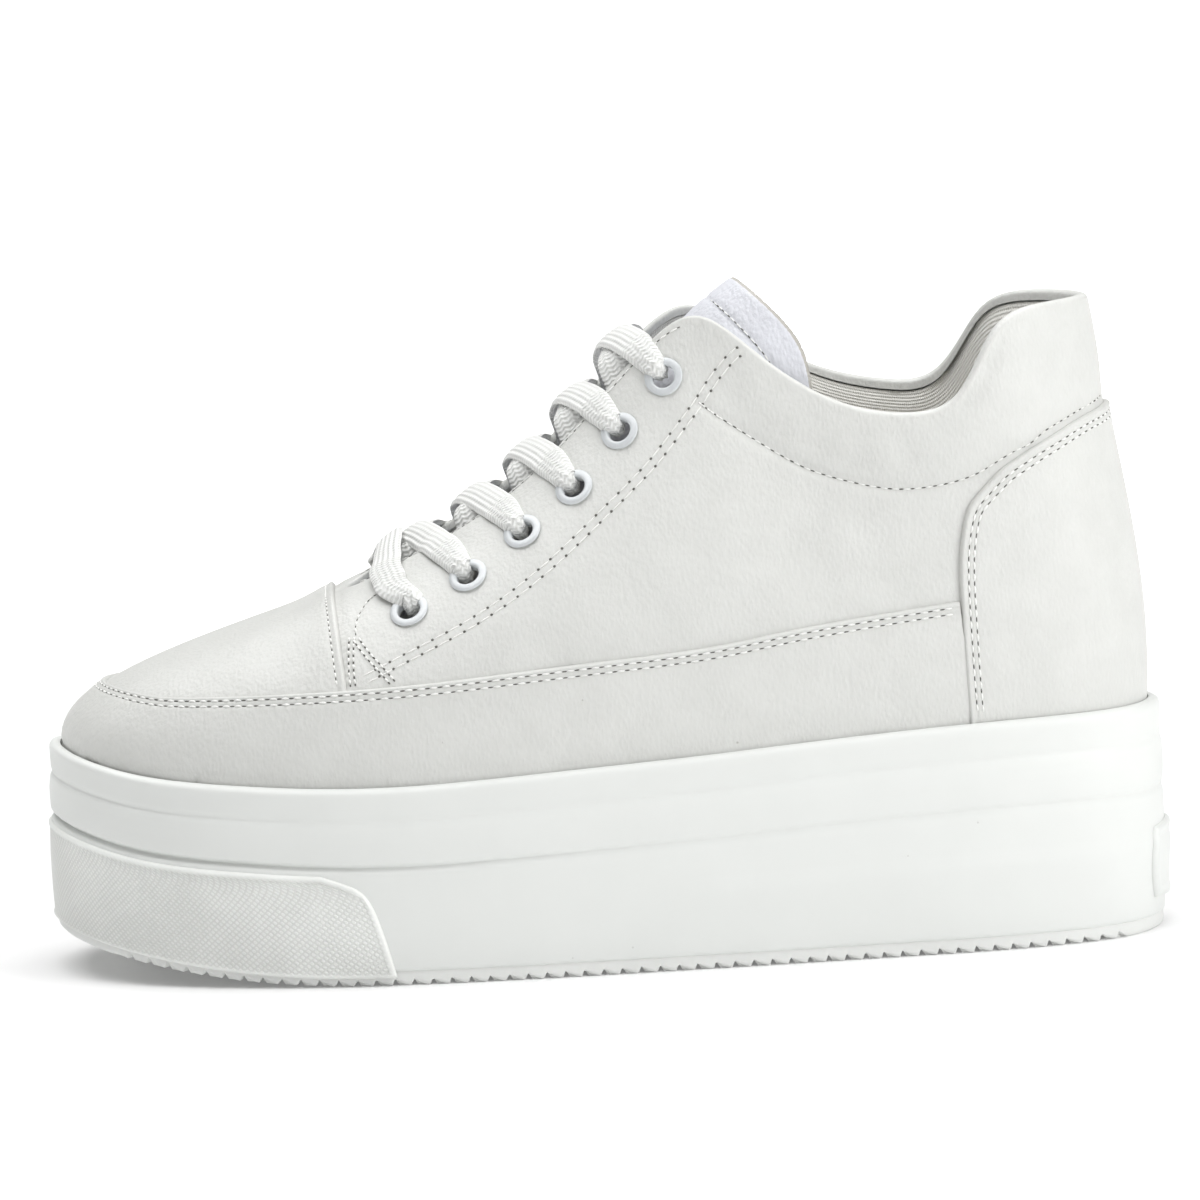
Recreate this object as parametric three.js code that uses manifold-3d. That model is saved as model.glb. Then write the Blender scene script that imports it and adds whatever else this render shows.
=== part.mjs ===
// Platform sneaker, left shoe. Millimetres, +Z up, toe towards -X, outer (lateral) side towards -Y.
// Everything is worked out from one form of the last: ribs that climb from the feather line,
// where upper and sole meet, to the top edge of the throat and collar.
import * as THREE from 'three';
import { mergeVertices } from 'three/addons/utils/BufferGeometryUtils.js';
import Module from 'manifold-3d';

const wasm = await Module();
wasm.setup();
const { Vector2, Vector3 } = THREE;

// ---- driving sizes ----
const GAP = 0.3; // between pieces that lie on each other
const WALL = 2.0; // leather and lining of the upper
const PAD = 3.4; // extra foam behind the collar
const OVERLAY = 0.9; // mudguard and heel counter leather
const TUCK = 5.5; // upper hidden inside the rim of the sole
const FLARE = 2.2; // how far a rib leans out before it turns in
const RIM_REACH = 4.1; // outside of the sole rim, from the skin of the last
const RECESS = 6.0; // depth of the foot well in the sole
const TREAD = 2.4; // thickness of the outsole
const TOE_SPRING = 11; // rise of the tread at the toe tip
const SPRING_START = -58; // x where the tread leaves the floor
const SPRING_LENGTH = 76;
const GROOVE_TOE = 17.5; // depth of the groove round the sole, below the feather line
const GROOVE_HEEL = 21;
const LENGTH = 268;
const TOE_X = -LENGTH / 2;
const AROUND = 60; // points round each ring, an even number
const TAN = 0.001; // small step for slopes

// ---- the last: a row for each rib, from the toe along one side to the heel ----
// baseX, lateral, medial: the feather line. topX, topHalf, topZ: the top edge.
// back, lift: what the inner side's top edge adds. rise, drop, reach: how a rib leaves its two ends.
const RIBS = columns(`
  baseX  lateral medial topX  topHalf topZ  back lift rise drop reach
  -128.1 -4.5    4.5    -60.5 0       88.4  0    0    13.5 12.5 40
  -123.4 14.8    22.3   -58   7       89.2  0    0    14.5 13   36
  -109   29.6    35.2   -50.5 11      93    0    0    18   13.5 30
  -88    38.8    41.8   -38   12.5    99.5  0    0.3  22.5 14   24
  -62    44.1    44.3   -22.5 13.5    108.9 0    0.8  28   16   19
  -34    45.1    42.6   -8    14.5    121.4 0    1.2  34   20   16
  -7     43.6    39     5     16      135.6 0    1.2  40   26   13
  18     41.4    35.8   17.5  18.5    147.6 0    0.6  42   32   10
  40     39.2    33.8   28    21.8    148.9 0    1    38   34   8
  59     37.2    33     41    26.3    138.3 0    3.6  32   30   6.5
  76     35.4    32.6   57    29.8    128.6 0    4.9  28   26   5
  91     33.2    31.6   73    31.4    125.5 0    4.2  28   25   4
  104    30      29     85.3  30.8    129.9 1    1.8  28   26   3
  115    25.4    25     94.3  28.4    144   1.6  0.2  32   30   2
  124.6  16.8    16.8   107   20.6    149.3 0    1.2  36   32   1.5
  130    0       0      119.6 0       150.4 0    0    38   33   2
`);
const SIDE_RIBS = RIBS.baseX.length - 1;
const TURN = 2 * SIDE_RIBS; // ribs all the way round

// ---- height of the feather line at even steps from toe to heel ----
const FEATHER = smooth([55, 49.6, 47.3, 46.15, 46.2, 47.35, 48.65, 49.95, 51.5, 52.9, 53.9, 54.35, 54.6], false);
const FEATHER_STEPS = 12;

// ---- wall of the sole: level 0 feather line, 1 groove, 2 tread; out is measured from the rim ----
const SOLE_WALL = columns(`
  level out
  0     -0.8
  0.05  0
  0.38  -0.1
  0.62  0.4
  0.90  0.1
  0.98  -1.3
  1.08  0.2
  1.4   0.5
  1.9   -0.1
  2     -1.6
`);
const SOLE_FOOT = -1.6; // out of the tread's outline

// ---- top of the footbed: a thin sole at the toe that climbs to a hidden heel wedge ----
const FOOTBED = columns(`
  x    z
  -140 53
  -105 47.5
  -70  45
  -38  46
  -5   52.5
  30   65
  62   77
  95   85.5
  140  89
`);

// ---- side lines of the overlays ----
const MUDGUARD_TOP = columns(`
  x    z
  -140 69.2
  -117 67.4
  -104 66.3
  -87  66.8
  -48  68.8
  -12  71.9
  22   74.6
  46   78.1
  83.2 82.5
`);
const COUNTER_FRONT = columns(`
  x     z
  84.6  40
  83.6  72
  83.4  92
  84.6  100
  87.2  106
  92.8  111.6
  105   118.6
  122   125.3
  150   134
`);
const COUNTER_SEAM = 83.2; // back end of the mudguard, one gap in front of the counter

// ---- tongue: along and rise are measured in the plane of the throat ----
const TONGUE = columns(`
  along rise half depth
  -9    0.2  23   9
  0     -3   24   10
  20    -8   25   13
  40    -8.9 25   17
  60    -6.6 24.5 24
  80    -4.6 24   29
  100   -1.3 23   31
  118   -0.4 23.4 31
`);
const TONGUE_THICK = 1.8;
const TONGUE_WRAP = 1.3; // half angle of the tongue's curve, radians

// ---- eyelets and lace ----
const EYELETS = 6; // on each side, from the toe up, by rib and share of the rib's height
const EYELET_RIB = [4, 4.52, 5.03, 5.64, 6.22, 6.92];
const EYELET_UP = [0.555, 0.611, 0.686, 0.737, 0.823, 0.89];
const EYELET = { hole: 2.6, barrel: 3.1, flange: 4.65, plate: 0.7, slot: 3.5, seat: 0.5 };
const LACE = { width: 8, thick: 1.2, start: 5.5, under: 3 };
const CROWN = 55; // radius of the arch the laces make over the throat

// ---- toe bumper, heel plate and tread ----
const BUMPER_BACK = columns(`
  x     share
  -68.4 0
  -61.2 0.1
  -56.2 0.33
  -51.4 1
`);
const BUMPER = { proud: 0.6, deep: 1.2, below: 1.6 };
const PLATE = { half: 19, low: 7, high: 25.5, proud: 1.2, deep: 1.0 };
const RIB = { first: -117, last: 112, pitch: 4.4, land: 2.8, cut: 3.3, depth: 1.5 };
const BELOW = 12; // how far cutting forms reach below the floor
const PADS = [-37, 92]; // centres of the plain round pads that rest on the floor
const PAD_RADIUS = 17;

// ---- tables and smooth curves ----

// A written table as named columns of numbers.
function columns(text) {
  const [head, ...rows] = text.trim().split('\n').map(line => line.trim().split(/\s+/));
  return Object.fromEntries(head.map((name, i) => [name, rows.map(row => Number(row[i]))]));
}

// A cubic B-spline that passes through the values, as a function of the row number.
function smooth(values, closed) {
  const n = values.length;
  const pick = (list, i) => {
    if (closed) return list[((i % n) + n) % n];
    if (i < 0) return 2 * list[0] - list[1];
    if (i >= n) return 2 * list[n - 1] - list[n - 2];
    return list[i];
  };
  let control = [...values];
  for (let pass = 0; pass < 40; pass += 1) {
    const before = control;
    control = values.map((value, i) => (6 * value - pick(before, i - 1) - pick(before, i + 1)) / 4);
  }
  return t => {
    const row = Math.floor(t);
    const f = t - row;
    const [a, b, c, d] = [-1, 0, 1, 2].map(k => pick(control, row + k));
    const near = 4 - 6 * f * f + 3 * f ** 3;
    const far = 1 + 3 * f + 3 * f * f - 3 * f ** 3;
    return ((1 - f) ** 3 * a + near * b + far * c + f ** 3 * d) / 6;
  };
}

// Points of a smooth side-view line through the x and z of a table.
function sideLine(table, steps = 24) {
  return new THREE.SplineCurve(table.x.map((x, i) => new Vector2(x, table.z[i]))).getPoints(steps);
}

const clamp01 = x => Math.min(1, Math.max(0, x));
const ease = x => clamp01(x) ** 2 * (3 - 2 * clamp01(x));
const mix = (a, b, f) => a + (b - a) * f;

// ---- the last ----

// A rib value all the way round: down the outer side, back up the inner side.
function around(outer, inner = outer) {
  return smooth([...outer, ...inner.slice(1, -1).reverse()], true);
}
const minus = list => list.map(x => -x);
const plus = (list, more) => list.map((x, i) => x + more[i]);
const last = {
  baseX: around(RIBS.baseX),
  baseY: around(minus(RIBS.lateral), RIBS.medial),
  topX: around(RIBS.topX, plus(RIBS.topX, RIBS.back)),
  topY: around(minus(RIBS.topHalf), RIBS.topHalf),
  topZ: around(RIBS.topZ, plus(RIBS.topZ, RIBS.lift)),
  rise: around(RIBS.rise),
  drop: around(RIBS.drop),
  reach: around(RIBS.reach),
};

function featherZ(x) {
  return FEATHER(clamp01((x - TOE_X) / LENGTH) * FEATHER_STEPS);
}

function groundZ(x) {
  return TOE_SPRING * Math.max(0, (SPRING_START - x) / SPRING_LENGTH) ** 2;
}

function baseAt(t) {
  const x = last.baseX(t);
  return new Vector3(x, last.baseY(t), featherZ(x));
}

function topAt(t) {
  return new Vector3(last.topX(t), last.topY(t), last.topZ(t));
}

// Level direction straight out of the feather line.
function outwardAt(t) {
  const dx = last.baseX(t + TAN) - last.baseX(t - TAN);
  const dy = last.baseY(t + TAN) - last.baseY(t - TAN);
  return new Vector3(dy, -dx, 0).normalize();
}

// A point on rib t, from the feather line (v 0) to the top edge (v 1); v -1 is the tucked-in edge.
function ribPoint(t, v) {
  const base = baseAt(t);
  if (v < 0) return base.setZ(base.z + v * TUCK);
  const top = topAt(t);
  const lean = base.clone().sub(top).setZ(0).normalize();
  const shoulder = outwardAt(t).multiplyScalar(FLARE).setZ(last.rise(t)).add(base);
  const neck = lean.multiplyScalar(last.reach(t)).setZ(-last.drop(t)).add(top);
  return new THREE.CubicBezierCurve3(base, shoulder, neck, top).getPoint(v);
}

function skinNormal(t, v) {
  if (v < 0) return outwardAt(t);
  const along = ribPoint(t + TAN, v).sub(ribPoint(t - TAN, v));
  const up = ribPoint(t, Math.min(1, v + TAN)).sub(ribPoint(t, Math.max(0, v - TAN)));
  return along.cross(up).normalize();
}

// The last's skin, moved out by a distance.
function skin(t, v, out = 0) {
  return ribPoint(t, v).addScaledVector(skinNormal(t, v), out);
}

const ringRibs = Array.from({ length: AROUND }, (_, i) => (i * TURN) / AROUND);
const skinRing = (v, out) => ringRibs.map(t => skin(t, v, typeof out === 'function' ? out(t, v) : out));

// ---- solids ----

// Rings of points joined into a closed body. A hollow body joins its last ring to its first;
// otherwise both ends are capped by strips between a ring's two sides.
function ringBody(rings, { hollow = false, pairing = 0 } = {}) {
  const n = rings[0].length;
  const index = [];
  const steps = hollow ? rings.length : rings.length - 1;
  for (let r = 0; r < steps; r += 1) {
    const low = r * n;
    const high = ((r + 1) % rings.length) * n;
    for (let i = 0; i < n; i += 1) {
      const j = (i + 1) % n;
      index.push(low + i, low + j, high + i, low + j, high + j, high + i);
    }
  }
  const across = i => (n - pairing - i) % n;
  const cap = (start, flip) => {
    for (let i = 0; i < n / 2 - pairing; i += 1) {
      const quad = [i, i + 1, across(i + 1), across(i)];
      const faces = [[quad[0], quad[1], quad[2]], [quad[0], quad[2], quad[3]]];
      for (const face of faces.filter(f => new Set(f).size === 3)) {
        const corners = flip ? [face[2], face[1], face[0]] : face;
        index.push(...corners.map(k => start + k));
      }
    }
  };
  if (!hollow) {
    cap(0, true);
    cap((rings.length - 1) * n, false);
  }
  return solid(rings.flat().flatMap(p => [p.x, p.y, p.z]), index);
}

// A manifold solid from points and triangles, turned to face out.
function solid(points, index) {
  let volume = 0;
  const at = k => new Vector3(points[3 * k], points[3 * k + 1], points[3 * k + 2]);
  for (let i = 0; i < index.length; i += 3) {
    volume += at(index[i]).dot(at(index[i + 1]).cross(at(index[i + 2])));
  }
  const triVerts = Uint32Array.from(volume < 0 ? [...index].reverse() : index);
  const vertProperties = Float32Array.from(points);
  return new wasm.Manifold(new wasm.Mesh({ numProp: 3, vertProperties, triVerts }));
}

// A three.js shape as a manifold solid.
function solidOf(geometry) {
  geometry.deleteAttribute('normal');
  geometry.deleteAttribute('uv');
  const merged = mergeVertices(geometry, TAN);
  return solid([...merged.attributes.position.array], [...merged.index.array]);
}

// A side-view outline carried straight through the shoe.
function sidePrism(outline) {
  const width = 200;
  const geometry = new THREE.ExtrudeGeometry(new THREE.Shape(outline), { depth: width, bevelEnabled: false });
  return solidOf(geometry.rotateX(Math.PI / 2).translate(0, width / 2, 0));
}

function boxBody(lowCorner, highCorner) {
  const size = highCorner.clone().sub(lowCorner);
  const middle = highCorner.clone().add(lowCorner).multiplyScalar(0.5);
  return solidOf(new THREE.BoxGeometry(size.x, size.y, size.z).translate(middle.x, middle.y, middle.z));
}

// The whole last as one filled form, moved out by a distance.
const FORM_LEVELS = [-1, 0, 0.12, 0.26, 0.4, 0.55, 0.7, 0.85, 1];
const filledForm = (out, levels = FORM_LEVELS) => ringBody(levels.map(v => skinRing(v, out)));

// ---- the upper: one wall, open at the throat, the collar and underneath ----
function wallDepth(t, v) {
  const fromToe = Math.min(t, TURN - t);
  const collar = ease((fromToe - 7.5) / 2);
  return WALL + PAD * collar * Math.sin(Math.PI * clamp01((v - 0.5) / 0.56));
}

// The rounded edge between the outer and the inner skin.
function topEdge() {
  return ringRibs.map(t => {
    const outer = skin(t, 1);
    const inner = skin(t, 1, -wallDepth(t, 1));
    const up = ribPoint(t, 1).sub(ribPoint(t, 1 - TAN)).normalize();
    return outer.add(inner).multiplyScalar(0.5).addScaledVector(up, 0.35 * wallDepth(t, 1));
  });
}

function buildUpper() {
  const outside = FORM_LEVELS.map(v => skinRing(v, 0));
  const inside = FORM_LEVELS.map(v => skinRing(v, (t, level) => -wallDepth(t, level))).reverse();
  let wall = ringBody([...outside, topEdge(), ...inside], { hollow: true });
  for (const eyelet of eyeletPlaces()) {
    const drill = new THREE.CylinderGeometry(EYELET.slot, EYELET.slot, 4 * WALL, 10);
    wall = wall.subtract(solidOf(placed(drill, eyelet.centre, eyelet.normal)));
  }
  return wall;
}

// Turns a shape made on the Y axis so that it stands on a point along a direction.
function placed(geometry, point, direction) {
  const turn = new THREE.Quaternion().setFromUnitVectors(new Vector3(0, 1, 0), direction);
  return geometry.applyQuaternion(turn).translate(point.x, point.y, point.z);
}

function eyeletPlaces() {
  const places = [];
  for (const side of ['lateral', 'medial']) {
    for (let k = 0; k < EYELETS; k += 1) {
      const v = EYELET_UP[k];
      const t = side === 'lateral' ? EYELET_RIB[k] : TURN - EYELET_RIB[k];
      places.push({ name: `eyelet_${side}_${k + 1}`, centre: skin(t, v), normal: skinNormal(t, v) });
    }
  }
  return places;
}

// A metal ring: a flat flange outside the leather and a barrel that goes through it.
function buildEyelet({ centre, normal }) {
  const outline = [
    [EYELET.hole, -WALL],
    [EYELET.barrel, -WALL],
    [EYELET.barrel, EYELET.seat],
    [EYELET.flange, EYELET.seat],
    [EYELET.flange - 0.3, EYELET.seat + EYELET.plate],
    [EYELET.hole, EYELET.seat + EYELET.plate],
    [EYELET.hole, -WALL],
  ].map(([r, y]) => new Vector2(r, y));
  return solidOf(placed(new THREE.LatheGeometry(outline, 10), centre, normal));
}

// ---- overlays that stand proud, cut between two forms of the last ----
const overlayShell = () => filledForm(GAP + OVERLAY).subtract(filledForm(GAP, [-3, ...FORM_LEVELS]));

function buildMudguard() {
  const outline = [...sideLine(MUDGUARD_TOP), new Vector2(COUNTER_SEAM, 30), new Vector2(-140, 30)];
  return overlayShell().intersect(sidePrism(outline));
}

function buildCounter() {
  const outline = [...sideLine(COUNTER_FRONT), new Vector2(150, 30), new Vector2(COUNTER_FRONT.x[0], 30)];
  return overlayShell().intersect(sidePrism(outline));
}

// ---- footbed: fills the inside of the last below its top line ----
function buildInsole() {
  const outline = [...sideLine(FOOTBED, 16), new Vector2(140, 20), new Vector2(-140, 20)];
  return filledForm(-(WALL + 2 * GAP)).intersect(sidePrism(outline));
}

// ---- the sole ----
const grooveZ = x => featherZ(x) - mix(GROOVE_TOE, GROOVE_HEEL, (x - TOE_X) / LENGTH);
const footZ = x => groundZ(x) + TREAD + GAP;

// A ring of the sole's outside at a level, with its wall moved out by grow.
function soleRing(level, out) {
  return ringRibs.map(t => {
    const p = baseAt(t).addScaledVector(outwardAt(t), RIM_REACH + out);
    const ends = level <= 1 ? [featherZ(p.x), grooveZ(p.x)] : [grooveZ(p.x), footZ(p.x)];
    return p.setZ(mix(...ends, level <= 1 ? level : level - 1));
  });
}

const soleWall = grow => SOLE_WALL.level.map((level, i) => soleRing(level, SOLE_WALL.out[i] + grow));

// The sole's form, carried on below the floor by a depth so that it can cut cleanly.
function filledSole(grow, below = 0) {
  const wall = soleWall(grow);
  const foot = wall[wall.length - 1].map(p => p.clone().setZ(-below));
  return ringBody(below > 0 ? [...wall, foot] : wall);
}

// The foot well, one gap outside the overlays.
function wellRing(depth) {
  return ringRibs.map(t => {
    const p = baseAt(t).addScaledVector(outwardAt(t), 2 * GAP + OVERLAY);
    return p.setZ(p.z - depth);
  });
}

// Side outline of the toe bumper, grown by a margin on its top and back.
function bumperRegion(margin) {
  const topZ = x => grooveZ(x) - BUMPER.below + margin;
  const front = [TOE_X - 10, TOE_X, -110, -86].map(x => new Vector2(x, topZ(x)));
  const ends = BUMPER_BACK.x.map((x, i) => {
    const share = BUMPER_BACK.share[i];
    return new Vector2(x + margin, mix(topZ(x), 0, share));
  });
  const back = new THREE.SplineCurve(ends).getPoints(8);
  return sidePrism([...front, ...back, new Vector2(-48 + margin, -5), new Vector2(TOE_X - 10, -5)]);
}

// Box round the plate at the back of the heel, grown by a margin.
function plateRegion(margin) {
  const low = new Vector3(100, -PLATE.half - margin, PLATE.low - margin);
  const high = new Vector3(150, PLATE.half + margin, PLATE.high + margin);
  return boxBody(low, high);
}

// Skin of the sole between two depths, inside a region.
const soleInlay = (sizes, region) =>
  filledSole(sizes.proud).subtract(filledSole(-sizes.deep, BELOW)).intersect(region);
const solePocket = (sizes, region) => region.subtract(filledSole(-sizes.deep - GAP, BELOW));

function buildMidsole() {
  const well = [wellRing(RECESS), wellRing(0.4)];
  const rim = soleRing(0, -1.5).map((p, i) => p.lerp(wellRing(0)[i], 0.5));
  const block = ringBody([...soleWall(0).reverse(), rim, ...well.reverse()]);
  return block
    .subtract(solePocket(BUMPER, bumperRegion(GAP)))
    .subtract(solePocket(PLATE, plateRegion(GAP)));
}

// Side outline of the tread: flat lands with a notch behind each.
function treadOutline() {
  const bottom = [new Vector2(TOE_X - 6, groundZ(TOE_X - 6)), new Vector2(-126, groundZ(-126))];
  for (let x = RIB.first; x < RIB.last; x += RIB.pitch) {
    bottom.push(new Vector2(x, groundZ(x)));
    bottom.push(new Vector2(x + RIB.land, groundZ(x + RIB.land)));
    bottom.push(new Vector2(x + RIB.cut, groundZ(x + RIB.cut) + RIB.depth));
  }
  bottom.push(new Vector2(RIB.last + RIB.pitch, 0), new Vector2(150, 0));
  const top = [150, SPRING_START, -70, -82, -94, -106, -118, TOE_X, TOE_X - 6]
    .map(x => new Vector2(x, groundZ(x) + TREAD));
  return [...bottom, ...top];
}

function buildOutsole() {
  const outline = soleRing(2, SOLE_FOOT);
  const prism = ringBody([outline.map(p => p.clone().setZ(-1)), outline.map(p => p.clone().setZ(30))]);
  let tread = sidePrism(treadOutline()).intersect(prism);
  for (const x of PADS) {
    const pad = new THREE.CylinderGeometry(PAD_RADIUS, PAD_RADIUS, TREAD - 0.2, 28);
    tread = tread.add(solidOf(pad.rotateX(Math.PI / 2).translate(x, 0, TREAD / 2 - 0.1)));
  }
  return tread;
}

// ---- the throat: a tilted frame for tongue and laces ----
const throat = {
  origin: new Vector3(-60, 0, 88.4),
  along: new Vector3(82, 0, 61.2).normalize(),
  up: new Vector3(-61.2, 0, 82).normalize(),
};

const inThroat = (along, side, rise) =>
  throat.origin.clone().addScaledVector(throat.along, along).addScaledVector(throat.up, rise).setY(side);

function fromThroat(point) {
  const p = point.clone().sub(throat.origin);
  return { along: p.dot(throat.along), side: point.y, rise: p.dot(throat.up) };
}

// The throat's edge beside a place along it, on the outer (-1) or inner (1) side.
function throatEdge(along, side) {
  let low = 0;
  let high = 8;
  for (let pass = 0; pass < 24; pass += 1) {
    const rib = (low + high) / 2;
    if (fromThroat(topAt(-side * rib)).along < along) low = rib;
    else high = rib;
  }
  return fromThroat(topAt(-side * low));
}

// The skin over the instep, found by walking over the last until along and side agree.
function instepSkin(along, side) {
  const hand = Math.sign(side);
  let rib = 1.5 + along / 17;
  let v = 0.9;
  for (let pass = 0; pass < 16; pass += 1) {
    const look = (r, w) => fromThroat(ribPoint(-hand * r, w));
    const here = look(rib, v);
    const byRib = look(rib + TAN, v);
    const byV = look(rib, v - TAN);
    const [a, b] = [(byRib.along - here.along) / TAN, (here.along - byV.along) / TAN];
    const [c, d] = [(byRib.side - here.side) / TAN, (here.side - byV.side) / TAN];
    const [e, f] = [along - here.along, side - here.side];
    const area = a * d - b * c;
    rib += clampStep((e * d - b * f) / area, 0.5);
    v = Math.min(1, v + clampStep((a * f - e * c) / area, 0.1));
  }
  return { point: ribPoint(-hand * rib, v), normal: skinNormal(-hand * rib, v) };
}

const clampStep = (x, most) => Math.min(most, Math.max(-most, x));

// A point over the instep: on the leather, or on an arch across the open throat.
function overInstep(along, side, lift) {
  const outer = throatEdge(along, -1);
  const inner = throatEdge(along, 1);
  if (side > outer.side && side < inner.side) {
    const f = (side - outer.side) / (inner.side - outer.side);
    const arch = ((side - outer.side) * (inner.side - side)) / (2 * CROWN);
    const normal = throat.up.clone();
    return { point: inThroat(along, side, mix(outer.rise, inner.rise, f) + arch + lift), normal };
  }
  const { point, normal } = instepSkin(along, side);
  return { point: point.addScaledVector(normal, lift), normal };
}

// A flat band swept along stations, each with a point and a normal.
function band(stations, width, thick) {
  const rings = stations.map(({ point, normal }, i) => {
    const before = stations[Math.max(0, i - 1)].point;
    const after = stations[Math.min(stations.length - 1, i + 1)].point;
    const across = after.clone().sub(before).cross(normal).normalize();
    return [[-1, 1], [1, 1], [1, -1], [-1, -1]].map(([w, h]) =>
      point.clone().addScaledVector(across, (w * width) / 2).addScaledVector(normal, (h * thick) / 2));
  });
  return ringBody(rings, { pairing: 1 });
}

const OVER = EYELET.seat + EYELET.plate + 0.8 + LACE.thick / 2; // lace centre above the skin at an eyelet
const UNDER = -(WALL + 1.1 + LACE.thick / 2); // and below a facing

function eyeletStops() {
  const lateral = eyeletPlaces().slice(0, EYELETS);
  return lateral.map(({ centre }) => fromThroat(centre));
}

// One strand: out from under one facing, over the throat, up to the next eyelet on the other side.
function strand(from, to, hand) {
  const start = { along: from.along + LACE.start, side: -hand * (throatEdge(from.along, 1).side + LACE.under) };
  const end = { along: to.along, side: -hand * to.side };
  const steps = 10;
  const stations = Array.from({ length: steps + 1 }, (_, i) => {
    const f = i / steps;
    const side = mix(start.side, end.side, f);
    const open = throatEdge(mix(from.along, to.along, 0.5), 1).side;
    const lift = mix(UNDER, OVER, ease((hand * side + open) / (2 * open)));
    return overInstep(mix(start.along, end.along, f), side, lift);
  });
  return band(stations, LACE.width, LACE.thick);
}

function buildCrossing(k) {
  const stops = eyeletStops();
  return strand(stops[k], stops[k + 1], 1).add(strand(stops[k], stops[k + 1], -1));
}

function buildLaceBar() {
  const [first] = eyeletStops();
  const steps = 10;
  const stations = Array.from({ length: steps + 1 }, (_, i) =>
    overInstep(first.along, mix(first.side, -first.side, i / steps), OVER));
  return band(stations, LACE.width, LACE.thick);
}

// ---- tongue: a curved sheet under the laces, cut square across its top ----
function buildTongue() {
  const rows = 15;
  const cols = 11;
  const alongAt = smooth(TONGUE.along, false);
  const riseAt = smooth(TONGUE.rise, false);
  const halfAt = smooth(TONGUE.half, false);
  const depthAt = smooth(TONGUE.depth, false);
  const rings = Array.from({ length: rows }, (_, r) => {
    const row = (r / (rows - 1)) * (TONGUE.along.length - 1);
    const sheet = thin => Array.from({ length: cols }, (__, c) => {
      const angle = mix(-TONGUE_WRAP, TONGUE_WRAP, c / (cols - 1));
      const side = (halfAt(row) - thin) * Math.sin(angle);
      const rise = riseAt(row) - thin - (depthAt(row) - thin) * (1 - Math.cos(angle));
      return inThroat(alongAt(row), side, rise);
    });
    return [...sheet(0), ...sheet(TONGUE_THICK).reverse()];
  });
  return ringBody(rings, { pairing: 1 });
}

// ---- materials ----
const paint = (color, roughness, metalness = 0) => new THREE.MeshStandardMaterial({ color, roughness, metalness });
const leather = paint('#ecebe8', 0.5);
const tongueLeather = paint('#e4e5ea', 0.55);
const rubber = paint('#eceded', 0.6);
const footbed = paint('#dedad2', 0.85);
const cotton = paint('#e9e9e9', 0.9);
const enamel = paint('#dfe3e8', 0.35, 0.3);

function meshOf(name, body, material) {
  const { vertProperties, triVerts } = body.getMesh();
  const geometry = new THREE.BufferGeometry();
  geometry.setAttribute('position', new THREE.BufferAttribute(Float32Array.from(vertProperties), 3));
  geometry.setIndex([...triVerts]);
  geometry.computeVertexNormals();
  const mesh = new THREE.Mesh(geometry, material);
  mesh.name = name;
  return mesh;
}

// ---- the shoe ----
const shoe = new THREE.Group();
shoe.name = 'platform_sneaker';
shoe.add(
  meshOf('outsole', buildOutsole(), rubber),
  meshOf('midsole', buildMidsole(), rubber),
  meshOf('toe_bumper', soleInlay(BUMPER, bumperRegion(0)), rubber),
  meshOf('heel_plate', soleInlay(PLATE, plateRegion(0)), rubber),
  meshOf('insole', buildInsole(), footbed),
  meshOf('upper', buildUpper(), leather),
  meshOf('mudguard', buildMudguard(), leather),
  meshOf('heel_counter', buildCounter(), leather),
  meshOf('tongue', buildTongue(), tongueLeather),
  meshOf('lace_bar', buildLaceBar(), cotton),
);
for (let k = 0; k < EYELETS - 1; k += 1) shoe.add(meshOf(`lace_crossing_${k + 1}`, buildCrossing(k), cotton));
for (const place of eyeletPlaces()) shoe.add(meshOf(place.name, buildEyelet(place), enamel));

// The middle of the shoe's box stands over the origin, its tread on the floor.
const box = new THREE.Box3().setFromObject(shoe);
const middle = box.getCenter(new Vector3());
for (const mesh of shoe.children) mesh.geometry.translate(-middle.x, -middle.y, -box.min.z);

export default shoe;
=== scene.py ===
# %% [markdown]
# # A platform sneaker, one piece at a time
#
# The shoe is a left shoe, empty, standing on its sole, toe towards -X and outer side towards -Y.
# A shoemaker pulls leather over a last, so this lesson does the same: it first builds the last
# as a set of smooth ribs, then lays flat sheets on it. Every sheet starts as a flat grid, gets
# two sides from a Solidify modifier, and is then lasted: each of its points is moved to its
# place on the form. Sizes are written in millimetres and turned into metres at one place.

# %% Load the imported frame
import math

import bpy
import numpy as np
from mathutils import Matrix, Vector


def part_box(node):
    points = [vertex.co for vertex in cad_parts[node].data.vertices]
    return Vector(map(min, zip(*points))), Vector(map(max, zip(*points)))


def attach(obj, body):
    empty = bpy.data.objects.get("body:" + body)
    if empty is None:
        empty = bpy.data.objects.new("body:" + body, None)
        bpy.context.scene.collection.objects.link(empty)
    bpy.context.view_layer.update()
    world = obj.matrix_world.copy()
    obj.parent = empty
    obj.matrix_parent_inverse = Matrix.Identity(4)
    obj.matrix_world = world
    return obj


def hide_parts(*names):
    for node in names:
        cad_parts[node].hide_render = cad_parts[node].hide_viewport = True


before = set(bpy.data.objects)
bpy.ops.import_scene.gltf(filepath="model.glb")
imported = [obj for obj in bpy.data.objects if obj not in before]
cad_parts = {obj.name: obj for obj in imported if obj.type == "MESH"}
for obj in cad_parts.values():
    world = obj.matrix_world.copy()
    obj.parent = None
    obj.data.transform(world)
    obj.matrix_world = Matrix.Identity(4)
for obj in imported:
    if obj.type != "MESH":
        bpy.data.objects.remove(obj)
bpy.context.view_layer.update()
MM = 0.001

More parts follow.
